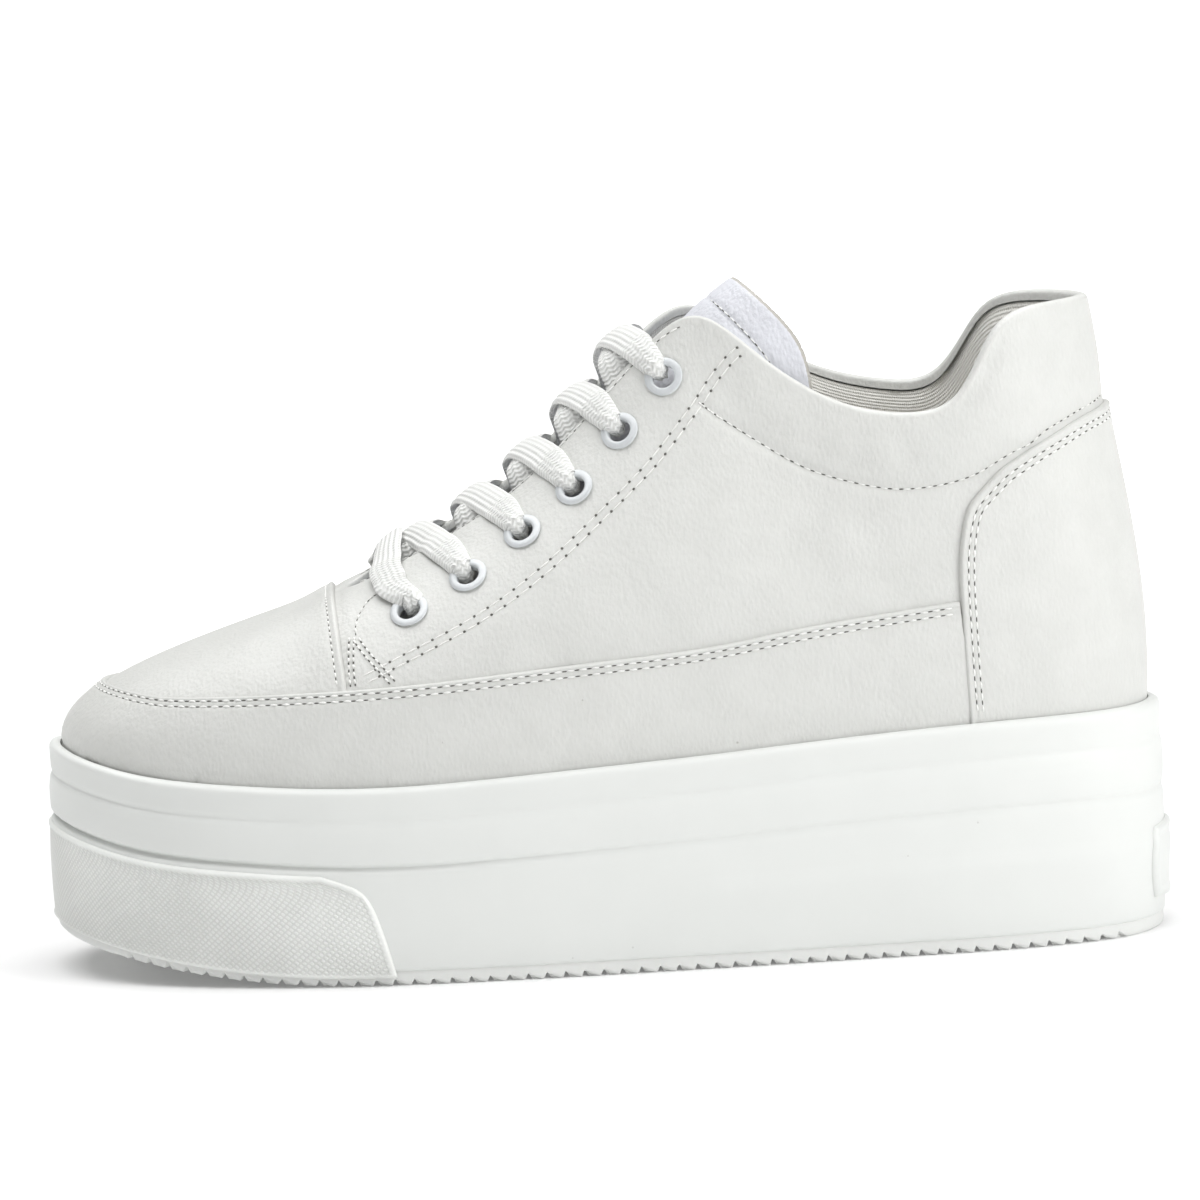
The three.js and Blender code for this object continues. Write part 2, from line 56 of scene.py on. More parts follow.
# %% [markdown]
# ## The camera
#
# The camera comes first, because it decides which details are worth modelling. It stands a
# little above the height of the shoe, almost square to the outer side, and is rolled slightly.
# A long lens from 1.3 m keeps the perspective as gentle as in a product studio.

# %% Camera
AIM = (-0.6, 0.2, 82.6)
AZIMUTH, ELEVATION, ROLL = (math.radians(angle) for angle in (-2.5, 6.0, 2.1))
DISTANCE = 1300
FOCAL = 163.2

back = Vector((
    math.sin(AZIMUTH) * math.cos(ELEVATION),
    -math.cos(AZIMUTH) * math.cos(ELEVATION),
    math.sin(ELEVATION),
))
level = Vector((math.cos(AZIMUTH), math.sin(AZIMUTH), 0))
upright = back.cross(level)
right = level * math.cos(ROLL) - upright * math.sin(ROLL)
up = upright * math.cos(ROLL) + level * math.sin(ROLL)
bpy.ops.object.camera_add()
camera = bpy.context.object
camera.name = "camera"
camera.data.lens = FOCAL
camera.data.sensor_width = 36
camera.data.clip_end = 100
camera.matrix_world = Matrix((right, up, back)).transposed().to_4x4()
camera.location = (Vector(AIM) + back * DISTANCE) * MM
bpy.context.scene.camera = camera
print("camera at", tuple(round(x, 3) for x in camera.location))

# %% [markdown]
# ## The last
#
# A last is known by its feather line, where upper and sole meet, and by the top edge of throat
# and collar. Between the two runs a rib, a Bezier curve that leans out a little, climbs, and
# turns in. Ribs are numbered from the toe (0) along the outer side to the heel (15) and back
# along the inner side to the toe (30), and a height of 0 is the feather line, 1 the top edge.
# A grid of measured points would be longer and lumpier than sixteen ribs joined smoothly.

# %% Smooth lines through a table
def columns(text):
    """A written table as named columns of numbers."""
    head, *rows = [line.split() for line in text.strip().splitlines()]
    return {name: np.array([float(row[i]) for row in rows]) for i, name in enumerate(head)}


def fair_line(rows, closed=False):
    """A smooth line through every row of numbers, read by row number."""
    rows = np.array(rows, float)
    rows = rows[:, None] if rows.ndim == 1 else rows
    knots = rows
    for _ in range(40):
        if closed:
            before, after = np.roll(knots, 1, 0), np.roll(knots, -1, 0)
        else:
            before = np.vstack([2 * knots[0] - knots[1], knots[:-1]])
            after = np.vstack([knots[1:], 2 * knots[-1] - knots[-2]])
        knots = (6 * rows - before - after) / 4
    count = len(knots)
    padded = np.vstack([2 * knots[0] - knots[1], knots, 2 * knots[-1] - knots[-2]])

    def at(t):
        t = np.asarray(t, float)
        if closed:
            row = np.floor(t).astype(int)
            picks = [knots[(row + k) % count] for k in (-1, 0, 1, 2)]
        else:
            t = np.clip(t, 0, count - 1)
            row = np.minimum(np.floor(t).astype(int), count - 2)
            picks = [padded[row + k] for k in (0, 1, 2, 3)]
        f = (t - row)[..., None]
        shares = (1 - f) ** 3, 4 - 6 * f**2 + 3 * f**3, 1 + 3 * f + 3 * f**2 - 3 * f**3, f**3
        value = sum(share * pick for share, pick in zip(shares, picks)) / 6
        return value[..., 0] if rows.shape[1] == 1 else value

    return at


def side_line(table):
    """Height of a side-view line at any x."""
    line = fair_line(np.stack(list(table.values()), 1))
    points = line(np.linspace(0, len(table["x"]) - 1, 400))
    order = np.argsort(points[:, 0])
    return lambda x: np.interp(x, points[order, 0], points[order, 1])


def read_at(where, steps, table):
    """Every column of a table, read between its rows."""
    return np.stack([np.interp(where, steps, column) for column in table.T], -1)


def ease(x):
    """0 below 0, 1 above 1, smooth between."""
    x = np.clip(x, 0, 1)
    return x * x * (3 - 2 * x)


def mix(a, b, f):
    return a + (b - a) * f


def trough(distance, width):
    """1 at no distance, fading like a bell."""
    return np.exp(-((distance / width) ** 2))


def unit(vectors):
    return vectors / np.maximum(np.linalg.norm(vectors, axis=-1, keepdims=True), 1e-9)


# %% Ribs of the last
RIBS = columns("""
  baseX  lateral medial topX  topHalf topZ  back lift rise drop reach
  -128.1 -4.5    4.5    -60.5 0       88.4  0    0    13.5 12.5 40
  -123.4 14.8    22.3   -58   7       89.2  0    0    14.5 13   36
  -109   29.6    35.2   -50.5 11      93    0    0    18   13.5 30
  -88    38.8    41.8   -38   12.5    99.5  0    0.3  22.5 14   24
  -62    44.1    44.3   -22.5 13.5    108.9 0    0.8  28   16   19
  -34    45.1    42.6   -8    14.5    121.4 0    1.2  34   20   16
  -7     43.6    39     5     16      135.6 0    1.2  40   26   13
  18     41.4    35.8   17.5  18.5    147.6 0    0.6  42   32   10
  40     39.2    33.8   28    21.8    148.9 0    1    38   34   8
  59     37.2    33     41    26.3    138.3 0    3.6  32   30   6.5
  76     35.4    32.6   57    29.8    128.6 0    4.9  28   26   5
  91     33.2    31.6   73    31.4    125.5 0    4.2  28   25   4
  104    30      29     85.3  30.8    129.9 1    1.8  28   26   3
  115    25.4    25     94.3  28.4    144   1.6  0.2  32   30   2
  124.6  16.8    16.8   107   20.6    149.3 0    1.2  36   32   1.5
  130    0       0      119.6 0       150.4 0    0    38   33   2
""")
SIDE_RIBS = len(RIBS["baseX"]) - 1
TURN = 2 * SIDE_RIBS
FLARE = 2.2
TUCK = 5.5
TOE_X, LENGTH = -134, 268
FEATHER = fair_line([55, 49.6, 47.3, 46.15, 46.2, 47.35, 48.65, 49.95, 51.5, 52.9, 53.9, 54.35, 54.6])


def around(outer, inner=None):
    """A rib value all the way round: down the outer side, back up the inner side."""
    inner = outer if inner is None else inner
    return np.concatenate([outer, inner[-2:0:-1]])


base_line = fair_line(np.stack([
    around(RIBS["baseX"]),
    around(-RIBS["lateral"], RIBS["medial"]),
], 1), closed=True)
top_at = fair_line(np.stack([
    around(RIBS["topX"], RIBS["topX"] + RIBS["back"]),
    around(-RIBS["topHalf"], RIBS["topHalf"]),
    around(RIBS["topZ"], RIBS["topZ"] + RIBS["lift"]),
], 1), closed=True)
handles = fair_line(np.stack([
    around(RIBS["rise"]),
    around(RIBS["drop"]),
    around(RIBS["reach"]),
], 1), closed=True)
STEP = 0.001  # between two points whose difference gives a slope


def feather_z(x):
    return FEATHER(np.clip((x - TOE_X) / LENGTH, 0, 1) * 12)


def base_at(t):
    base = base_line(t)
    return np.concatenate([base, feather_z(base[..., 0])[..., None]], -1)


def outward_at(t):
    """Level direction straight out of the feather line."""
    slope = base_line(t + STEP) - base_line(t - STEP)
    return unit(np.stack([slope[..., 1], -slope[..., 0], np.zeros(slope.shape[:-1])], -1))


def rib_point(t, v):
    """A point on rib t at height v; below 0 it goes straight down behind the rim of the sole."""
    t, v = np.broadcast_arrays(np.asarray(t, float), np.asarray(v, float))
    base, top, hands = base_at(t), top_at(t), handles(t)
    lean = base - top
    lean[..., 2] = 0
    zero = np.zeros(t.shape)
    shoulder = base + outward_at(t) * FLARE + np.stack([zero, zero, hands[..., 0]], -1)
    neck = top + unit(lean) * hands[..., 2:] - np.stack([zero, zero, hands[..., 1]], -1)
    w = np.clip(v, 0, 1)[..., None]
    point = (1 - w) ** 3 * base + 3 * (1 - w) ** 2 * w * shoulder
    point = point + 3 * (1 - w) * w**2 * neck + w**3 * top
    point[..., 2] += np.minimum(v, 0) * TUCK
    return point


def slopes(t, v):
    """How a point on the skin moves per rib and per height."""
    per_rib = (rib_point(t + STEP, v) - rib_point(t - STEP, v)) / (2 * STEP)
    high, low = np.minimum(1, v + STEP), np.maximum(0, v - STEP)
    per_height = (rib_point(t, high) - rib_point(t, low)) / (high - low)[..., None]
    return per_rib, per_height


def rib_length(t):
    """Millimetres that one unit of height takes up near the top edge."""
    return np.linalg.norm(rib_point(t, 1.0) - rib_point(t, 0.95), axis=-1) / 0.05


def skin(t, v, out=0.0):
    """The last's skin moved out by a distance, and its normal."""
    t, v = np.broadcast_arrays(np.asarray(t, float), np.asarray(v, float))
    per_rib, per_height = slopes(t, np.clip(v, 0, 1))
    normal = unit(np.cross(per_rib, per_height))
    normal = np.where((v < 0)[..., None], outward_at(t), normal)
    return rib_point(t, v) + normal * np.asarray(out, float)[..., None], normal


# %% Where the frame's origin lies on the last
RIM_REACH = 4.1
ring = np.arange(60) * TURN / 60


def rim_centre(out):
    points = base_at(ring) + outward_at(ring) * (RIM_REACH + out)
    return (points.min(0) + points.max(0)) / 2


low, high = (np.array(corner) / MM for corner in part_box("midsole"))
SHIFT = (low + high) / 2 - [rim_centre(0.4)[0], rim_centre(0.5)[1], 0]
SHIFT[2] = 0
print("last to frame, mm:", SHIFT.round(3), "skin at rib 7:", rib_point(7.0, 0.5).round(1))

# %% [markdown]
# ## Laying sheets on the last
#
# Two helpers do the lasting. `sheet` starts from a flat grid, gives it two sides with a Solidify
# modifier and moves every point to where `faces(u, w)` says, so the grid's own UV map follows
# the cloth. `body` does the same for a closed form such as the sole, whose first and last rows
# fall together and are merged. Modelling these by hand in edit mode would lose the exact seams.

# %% Sheets and closed bodies
def clear_hands():
    """Nothing selected and nothing open for editing."""
    if bpy.context.object and bpy.context.object.mode != "OBJECT":
        bpy.ops.object.mode_set(mode="OBJECT")
    bpy.ops.object.select_all(action="DESELECT")


def flat_grid(name, across, along):
    clear_hands()
    bpy.ops.mesh.primitive_grid_add(x_subdivisions=across, y_subdivisions=along, size=1)
    piece = bpy.context.object
    piece.name = piece.data.name = name
    flat = np.empty(3 * len(piece.data.vertices))
    piece.data.vertices.foreach_get("co", flat)
    return piece, flat.reshape(-1, 3)[:, 0] + 0.5, flat.reshape(-1, 3)[:, 1] + 0.5


def put(piece, points):
    """Moves the mesh's points to places on the last, given in millimetres."""
    piece.data.vertices.foreach_set("co", ((points + SHIFT) * MM).ravel())
    piece.data.update()


def mark(piece, name, values):
    """One number for each point, for a finish to read."""
    piece.data.attributes.new(name, "FLOAT", "POINT").data.foreach_set("value", values)


def close(piece, angle=50):
    """Merges seams, turns the faces outwards and shades the piece smooth."""
    bpy.ops.object.mode_set(mode="EDIT")
    bpy.ops.mesh.select_all(action="SELECT")
    bpy.ops.mesh.remove_doubles(threshold=2e-6)
    bpy.ops.mesh.normals_make_consistent(inside=False)
    bpy.ops.object.mode_set(mode="OBJECT")
    bpy.ops.object.shade_smooth_by_angle(angle=math.radians(angle))
    print(f"{piece.name}: {len(piece.data.vertices)} points, {len(piece.data.polygons)} faces")
    return piece


def open_ends(piece):
    """Takes away the end walls of a sheet whose two ends will meet in a ring."""
    bpy.ops.object.mode_set(mode="EDIT")
    bpy.ops.mesh.select_all(action="DESELECT")
    bpy.ops.object.mode_set(mode="OBJECT")
    for face in piece.data.polygons:
        face.select = abs(face.normal.x) > 0.5
    bpy.ops.object.mode_set(mode="EDIT")
    bpy.ops.mesh.select_mode(type="FACE")
    bpy.ops.mesh.delete(type="ONLY_FACE")
    bpy.ops.mesh.select_mode(type="VERT")
    bpy.ops.object.mode_set(mode="OBJECT")


def sheet(name, across, along, faces, angle=50, ring=False):
    """A two-sided sheet. faces(u, w) gives both sides' points, and marks for the outer side."""
    piece, u, w = flat_grid(name, across, along)
    piece.modifiers.new("two_sides", "SOLIDIFY").thickness = 0.01
    bpy.ops.object.modifier_apply(modifier="two_sides")
    if ring:
        open_ends(piece)
    outer, inner, *marks = faces(u, w)
    put(piece, np.concatenate([outer, inner]))
    for name, values in (marks[0] if marks else {}).items():
        mark(piece, name, np.concatenate([values, values]))
    return close(piece, angle)


def body(name, around, along, place, angle=50):
    """A closed form whose columns go round the shoe and whose ends meet on the centre line."""
    piece, u, w = flat_grid(name, around, along)
    put(piece, place(u * TURN, w))
    return close(piece, angle)


# %% [markdown]
# ## Finishes
#
# A finish is a material whose colour, roughness and bump are worked out from the place on the
# shoe. Drawing such nodes by hand is slow to read, so `Wire` lets a socket stand in ordinary
# arithmetic and `Finish.node` makes any other node. Patterns that follow the cloth read the UV
# map of their sheet; grain and specks read Object coordinates, in millimetres.

# %% Shader arithmetic
class Wire:
    """An output socket that can be used in ordinary arithmetic."""

    def __init__(self, finish, socket):
        self.finish, self.socket = finish, socket

    def math(self, operation, *values):
        return self.finish.node("ShaderNodeMath", {"operation": operation}, dict(enumerate(values)))

    def __add__(self, other):
        return self.math("ADD", self, other)

    def __sub__(self, other):
        return self.math("SUBTRACT", self, other)

    def __rsub__(self, other):
        return self.math("SUBTRACT", other, self)

    def __mul__(self, other):
        return self.math("MULTIPLY", self, other)

    __radd__, __rmul__ = __add__, __mul__

    def wave(self):
        """A sine between 0 and 1."""
        return self.math("SINE", self) * 0.5 + 0.5

    def clamped(self):
        return self.math("MINIMUM", self.math("MAXIMUM", self, 0.0), 1.0)

    def ramp(self, low, high):
        """0 below low, 1 above high, smooth between."""
        settings = {"interpolation_type": "SMOOTHSTEP"}
        return self.finish.node("ShaderNodeMapRange", settings, {0: self, 1: low, 2: high})


class Finish:
    """A material made of nodes."""

    def __init__(self, name):
        self.material = bpy.data.materials.new(name)
        self.material.use_nodes = True
        self.tree = self.material.node_tree
        self.tree.nodes.clear()

    def node(self, kind, settings=None, sockets=None, output=0):
        """Adds a node, its settings first, then its sockets, and gives one of its outputs."""
        node = self.tree.nodes.new(kind)
        for name, value in (settings or {}).items():
            setattr(node, name, value)
        for key, value in (sockets or {}).items():
            if isinstance(value, Wire):
                self.tree.links.new(value.socket, node.inputs[key])
            else:
                node.inputs[key].default_value = value
        return Wire(self, node.outputs[output]) if node.outputs else None

    def millimetres(self, stretch=(1, 1, 1)):
        """Object coordinates in millimetres, stretched along an axis where the grain runs."""
        place = self.node("ShaderNodeTexCoord", output="Object")
        sockets = {0: place, 1: [1000 * s for s in stretch]}
        return self.node("ShaderNodeVectorMath", {"operation": "MULTIPLY"}, sockets)

    def cloth(self):
        """The sheet's own coordinates, u across and w along."""
        both = self.node("ShaderNodeTexCoord", output="UV")
        parts = self.node("ShaderNodeSeparateXYZ", sockets={0: both})
        return parts, Wire(self, parts.socket.node.outputs[1])

    def noise(self, place, size, detail=2.0, rough=0.5):
        sockets = {"Vector": place, "Scale": 1 / size, "Detail": detail, "Roughness": rough}
        return self.node("ShaderNodeTexNoise", sockets=sockets)

    def cells(self, place, size, feature="F1"):
        sockets = {"Vector": place, "Scale": 1 / size}
        return self.node("ShaderNodeTexVoronoi", {"feature": feature}, sockets, "Distance")

    def mark(self, name):
        return self.node("ShaderNodeAttribute", {"attribute_name": name}, output="Fac")

    def blend(self, low, high, share):
        """A colour between two colours."""
        low, high = (c if isinstance(c, Wire) else (*c, 1) for c in (low, high))
        return self.node("ShaderNodeMix", {"data_type": "RGBA"}, {0: share, 6: low, 7: high}, output=2)

    def done(self, colour, roughness, height, depth, **fixed):
        """Joins everything to the shader. depth is the bump's height in millimetres."""
        bump = self.node("ShaderNodeBump", sockets={"Height": height, "Distance": depth * MM})
        sockets = {"Base Color": colour, "Roughness": roughness, "Normal": bump}
        fixed = {name.replace("_", " "): value for name, value in fixed.items()}
        shader = self.node("ShaderNodeBsdfPrincipled", sockets={**sockets, **fixed})
        self.node("ShaderNodeOutputMaterial", sockets={"Surface": shader})
        return self.material


# %% [markdown]
# ### Leather, knit, lace, rubber and metal
#
# The leather is a coated white one: a fine grain pressed into it, a few pinholes and a slight
# greying along seams and edges, partly dirt and partly painted shade in gaps and creases. The
# lining is a ribbed knit, the lace a flat braid with ridges along it, and the sole a moulded foam
# with a silky skin. White things live from small differences in roughness and tint, so no two of
# these finishes share the same white.

# %% Leather
def leather_finish(name, light, dark, rough=0.46, grain=0.17):
    """Coated leather. Its grain runs upwards, and the soil mark greys it along seams: dirt, and painted
    shade in gaps and creases.
    """
    finish = Finish(name)
    place = finish.millimetres((1, 1, 0.55))
    pebbles = finish.cells(place, 0.8, "SMOOTH_F1")
    pores = finish.noise(place, 0.4, 3.0, 0.6)
    waves = finish.noise(finish.millimetres(), 9.0, 3.0)
    pinhole = 1 - finish.cells(finish.millimetres(), 7.5).ramp(0.02, 0.05)
    speck = pinhole * finish.noise(finish.millimetres(), 3.3).ramp(0.6, 0.62)
    # soil greys seams and edges: partly dirt, partly painted shade in gaps and creases
    soil = finish.mark("soil")
    split = (finish.mark("raw") + (pores - 0.5) * 0.5).ramp(0.35, 0.6)
    tint = waves.ramp(0.3, 0.7) * 0.55 + pebbles.ramp(0.2, 0.8) * 0.25
    colour = finish.blend(light, dark, (tint + soil * 0.5).clamped())
    colour = finish.blend(colour, (0.45, 0.44, 0.42), (speck * 0.6 + soil * 0.3).clamped())
    colour = finish.blend(colour, (0.40, 0.375, 0.32), split * 0.8)
    height = pebbles * -0.8 + pores * 0.5 + waves * 1.5 - speck * 0.8
    roughness = rough + (waves - 0.5) * 0.12 + pores * 0.06 + soil * 0.1
    return finish.done(colour, roughness, height, grain, Specular_IOR_Level=0.42)


WHITE_LEATHER = leather_finish("leather", (0.66, 0.665, 0.642), (0.615, 0.62, 0.597))
TONGUE_LEATHER = leather_finish("tongue_leather", (0.72, 0.73, 0.775), (0.68, 0.69, 0.735), 0.5, 0.24)
print("leathers:", WHITE_LEATHER.name, TONGUE_LEATHER.name)

# %% Raw cut edge of the leather
def raw_edge_finish():
    """The cut edge of the tongue: split fibres, darker and matt."""
    finish = Finish("raw_edge")
    fibres = finish.noise(finish.millimetres(), 0.3, 4.0, 0.7)
    colour = finish.blend((0.34, 0.32, 0.27), (0.56, 0.54, 0.48), fibres.ramp(0.35, 0.65))
    return finish.done(colour, 0.85 + fibres * 0.1, fibres, 0.3, Specular_IOR_Level=0.2)


RAW_EDGE = raw_edge_finish()

# %% Ribbed knit of the lining
def knit_finish(name, ribs, courses):
    """Knit whose ribs run round the collar. ribs and courses are counted over the sheet."""
    finish = Finish(name)
    u, w = finish.cloth()
    rib = (w * (ribs * math.tau)).wave()
    course = (u * (courses * math.tau) + (w * (ribs * math.pi)).wave() * 3.2).wave()
    fuzz = finish.noise(finish.millimetres(), 0.25, 3.0, 0.7)
    loops = rib * 0.6 + course * 0.4
    # the soil mark darkens the knit along its top fold: painted shade
    share = (loops * 0.75 + fuzz * 0.35 - finish.mark("soil") * 0.3).clamped()
    colour = finish.blend((0.82, 0.81, 0.76), (0.94, 0.93, 0.89), share)
    return finish.done(colour, 0.8 + fuzz * 0.15, loops + fuzz * 0.3, 0.28, Sheen_Weight=0.2)


LINING = knit_finish("collar_lining", 150, 800)
print("lining:", LINING.name)

# %% Braided lace
def lace_finish():
    """A flat braid: ridges run along it, and slanting stitches cross them like a herringbone."""
    ridges, rows = 6, 34
    finish = Finish("lace")
    u, w = finish.cloth()
    ridge = (u * (ridges * math.tau)).wave()
    zigzag = u.math("PINGPONG", u * ridges, 1.0) * 3.2
    slant = (w * (rows * math.tau) + zigzag).wave()
    fuzz = finish.noise(finish.millimetres(), 0.2, 3.0, 0.7)
    crest = finish.mark("crest")
    weave = ridge * (crest * 0.5 + 0.2) + slant * (0.8 - crest * 0.5)
    share = (weave * 0.85 + fuzz * 0.35).clamped()
    colour = finish.blend((0.64, 0.645, 0.62), (0.87, 0.875, 0.86), share)
    return finish.done(colour, 0.75 + fuzz * 0.15, weave + fuzz * 0.2, 0.32, Sheen_Weight=0.25)


LACE = lace_finish()

# %% Foam rubber of the sole
def rubber_finish(name, light=(0.745, 0.76, 0.74), dark=(0.71, 0.725, 0.705), rough=0.42, dots=None):
    """Moulded sole. dots, counted across and along the sheet, presses a field of small diamonds."""
    finish = Finish(name)
    place = finish.millimetres()
    waves = finish.noise(place, 22.0, 2.0)
    skin_grain = finish.noise(place, 0.5, 3.0, 0.6)
    bubble = 1 - finish.cells(place, 9.0).ramp(0.015, 0.035)
    # soil darkens the rubber where a piece has it; on the toe bumper it is darker towards the bottom
    soil = finish.mark("soil")
    height = skin_grain * 0.25 + waves * 1.2 - bubble * 1.0
    tint = waves.ramp(0.3, 0.7) * 0.4 + soil * 0.6
    if dots:
        u, w = finish.cloth()
        across, upwards = u * (dots[0] * math.pi), w * (dots[1] * math.pi)
        diamond = (across + upwards).wave() * (across - upwards).wave()
        field = finish.mark("field")
        height = height + diamond.ramp(0.05, 0.6) * field * 4.0
        # painted shade: the grooves between the raised diamonds are coloured darker
        tint = tint + (1 - diamond.ramp(0.0, 0.3)) * field * 0.6
    colour = finish.blend(light, dark, tint.clamped())
    colour = finish.blend(colour, (0.5, 0.5, 0.48), (bubble * 0.5 + soil * 0.12).clamped())
    roughness = rough + waves * 0.1 + skin_grain * 0.06
    return finish.done(colour, roughness, height, 0.05, Specular_IOR_Level=0.4)


SOLE_RUBBER = rubber_finish("sole_rubber")
TREAD_RUBBER = rubber_finish("tread_rubber", (0.78, 0.79, 0.77), (0.71, 0.72, 0.70), 0.5)
# painted light: the bumper's light tone is raised well above the sole's to make up for its
# downward-facing side getting less light
LIGHTENED_BUMPER_RUBBER = rubber_finish(
    "bumper_rubber", (0.90, 0.915, 0.89), (0.70, 0.71, 0.685), 0.45, (270, 34),
)
print("rubbers:", SOLE_RUBBER.name, TREAD_RUBBER.name, LIGHTENED_BUMPER_RUBBER.name)

# %% Small things: enamelled metal, thread and needle holes
def plain_finish(name, light, dark, rough, grain_size, depth, **fixed):
    """A tint and a roughness that both drift with a fine noise."""
    finish = Finish(name)
    grain = finish.noise(finish.millimetres(), grain_size, 3.0, 0.6)
    colour = finish.blend(light, dark, grain.ramp(0.3, 0.7))
    return finish.done(colour, rough + grain * 0.1, grain, depth, **fixed)


ENAMEL = plain_finish(
    "enamelled_metal", (0.61, 0.635, 0.65), (0.58, 0.605, 0.62), 0.25, 1.5, 0.01, Coat_Weight=0.3,
)
THREAD = plain_finish("thread", (0.89, 0.89, 0.87), (0.80, 0.80, 0.78), 0.6, 0.2, 0.1)
NEEDLE_HOLE_SHADE = plain_finish("needle_hole", (0.16, 0.16, 0.145), (0.09, 0.09, 0.08), 0.8, 0.3, 0.02)
FOOTBED = plain_finish("footbed", (0.74, 0.72, 0.66), (0.66, 0.64, 0.58), 0.7, 0.8, 0.15)
print("small finishes:", ENAMEL.name, THREAD.name, NEEDLE_HOLE_SHADE.name, FOOTBED.name)

# %% [markdown]
# ## The sole
#
# The platform is one moulded foam body. From the top down its wall has a rounded rim that grips
# the upper, a shallow lip line that is deep at the toe and fades towards the heel, a swelling
# band, a sharp groove that goes all round, and a lower wall that tucks in at the tread. Towards
# the heel the lower wall carries one more faint step. A profile carried round the feather line
# gives all of them at once, where a cut-out block would need each line modelled separately.

# %% Profile of the wall
GROOVE_TOE, GROOVE_HEEL = 17.5, 21
TREAD, GAP, RECESS = 2.4, 0.3, 6.0
BAND = 0.7  # how far the side of the tread reaches up over the foam
WALL_LINE = columns("""
  level out
  0     -2.6
  0.006 -1.3
  0.03  -0.45
  0.07  -0.08
  0.12  0
  0.34  -0.12
  0.4   -0.2
  0.44  -0.12
  0.5   0.1
  0.65  0.4
  0.8   0.42
  0.9   0.3
  0.94  0.22
  0.98  0.16
  1     0.15
  1.02  0.18
  1.06  0.24
  1.12  0.32
  1.4   0.5
  1.75  0.35
  1.9   0.2
  1.97  0.1
  1.99  -0.05
  2     -0.4
""")


def groove_z(x):
    return feather_z(x) - mix(GROOVE_TOE, GROOVE_HEEL, (x - TOE_X) / LENGTH)


def foot_z(x):
    """The underside of the foam: flat, then rising under the toe."""
    return 11 * np.maximum(0, (-58 - x) / 76) ** 2 + TREAD + GAP + BAND


def sole_wall(t, level):
    """A point on the wall of the sole; level 0 is the feather line, 1 the groove, 2 the tread."""
    step = np.interp(level, WALL_LINE["level"], WALL_LINE["out"])
    base = base_at(t)
    x = base[..., 0]
    lip = mix(0.4, 0.12, ease((x + 120) / 70)) * trough(level - 0.42, 0.035)
    heel_step = 0.3 * ease((x + 20) / 70) * ease((level - 1.36) / 0.06)
    heel_step = heel_step * (1 - ease((level - 1.42) / 0.3))
    slot = np.where(level < 0.985, trough(level - 0.985, 0.028), trough(level - 0.985, 0.04))
    groove = mix(1.6, 0.35, ease((x + 110) / 130)) * slot
    reach = RIM_REACH + step - lip - groove + heel_step
    point = base + outward_at(t) * reach[..., None]
    x = point[..., 0]
    upper = mix(feather_z(x), groove_z(x), level)
    lower = mix(groove_z(x), foot_z(x), level - 1)
    point[..., 2] = np.where(level <= 1, upper, lower)
    return point


# %% Midsole
WALL_LEVELS = np.unique(np.concatenate([
    WALL_LINE["level"],
    np.linspace(0.1, 1.95, 38),
    np.linspace(0.35, 0.49, 11),
    np.linspace(0.92, 1.08, 17),
]))
SOLE_STATIONS = np.concatenate([[0, 0.5], 3 - WALL_LEVELS[::-1], [4, 4.5, 5]])


def sole_form(t, w):
    """From the middle of the underside (0) by its edge (1) up the wall (3) into the well (5)."""
    station = np.interp(w, np.linspace(0, 1, len(SOLE_STATIONS)), SOLE_STATIONS)
    wall = sole_wall(t, np.clip(3 - station, 0, 2))
    base = base_at(t)
    under = mix(base * [1, 0, 0], wall * [1, 1, 0], np.clip(station, 0, 1)[:, None])
    under[:, 2] = foot_z(under[:, 0])
    well = wall - [0, 0, RECESS] * np.clip(station - 3, 0, 1)[:, None]
    floor = mix(well, base * [1, 0, 1] - [0, 0, RECESS], np.clip(station - 4, 0, 1)[:, None])
    point = np.where((station < 1)[:, None], under, wall)
    return np.where((station > 3)[:, None], floor, point)


midsole = body("midsole_foam", 300, len(SOLE_STATIONS) - 1, sole_form, angle=60)
midsole.data.materials.append(SOLE_RUBBER)
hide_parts("midsole")
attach(midsole, "root")

# %% [markdown]
# ### Toe bumper and heel plate
#
# The bumper is a skin of rubber over the toe's lower wall. It has a smooth raised border and a
# field of tiny diamonds, and its back end sweeps down to the tread in an S. The heel carries a
# plain raised plate. Both are sheets laid on the wall, so they follow its bulge exactly.

# %% Toe bumper
BUMPER_BACK = columns("""
  x     share
  -70   -0.02
  -66.8 0.02
  -61.2 0.1
  -56.2 0.33
  -51.4 1
""")
BUMPER_PROUD, BUMPER_BELOW = 0.6, 1.4
back_line = fair_line(np.stack([BUMPER_BACK["x"], BUMPER_BACK["share"]], 1))(np.linspace(0, 4, 120))
half_ring = np.linspace(0, 8, 400)
half_x = sole_wall(half_ring, 1.4)[:, 0]


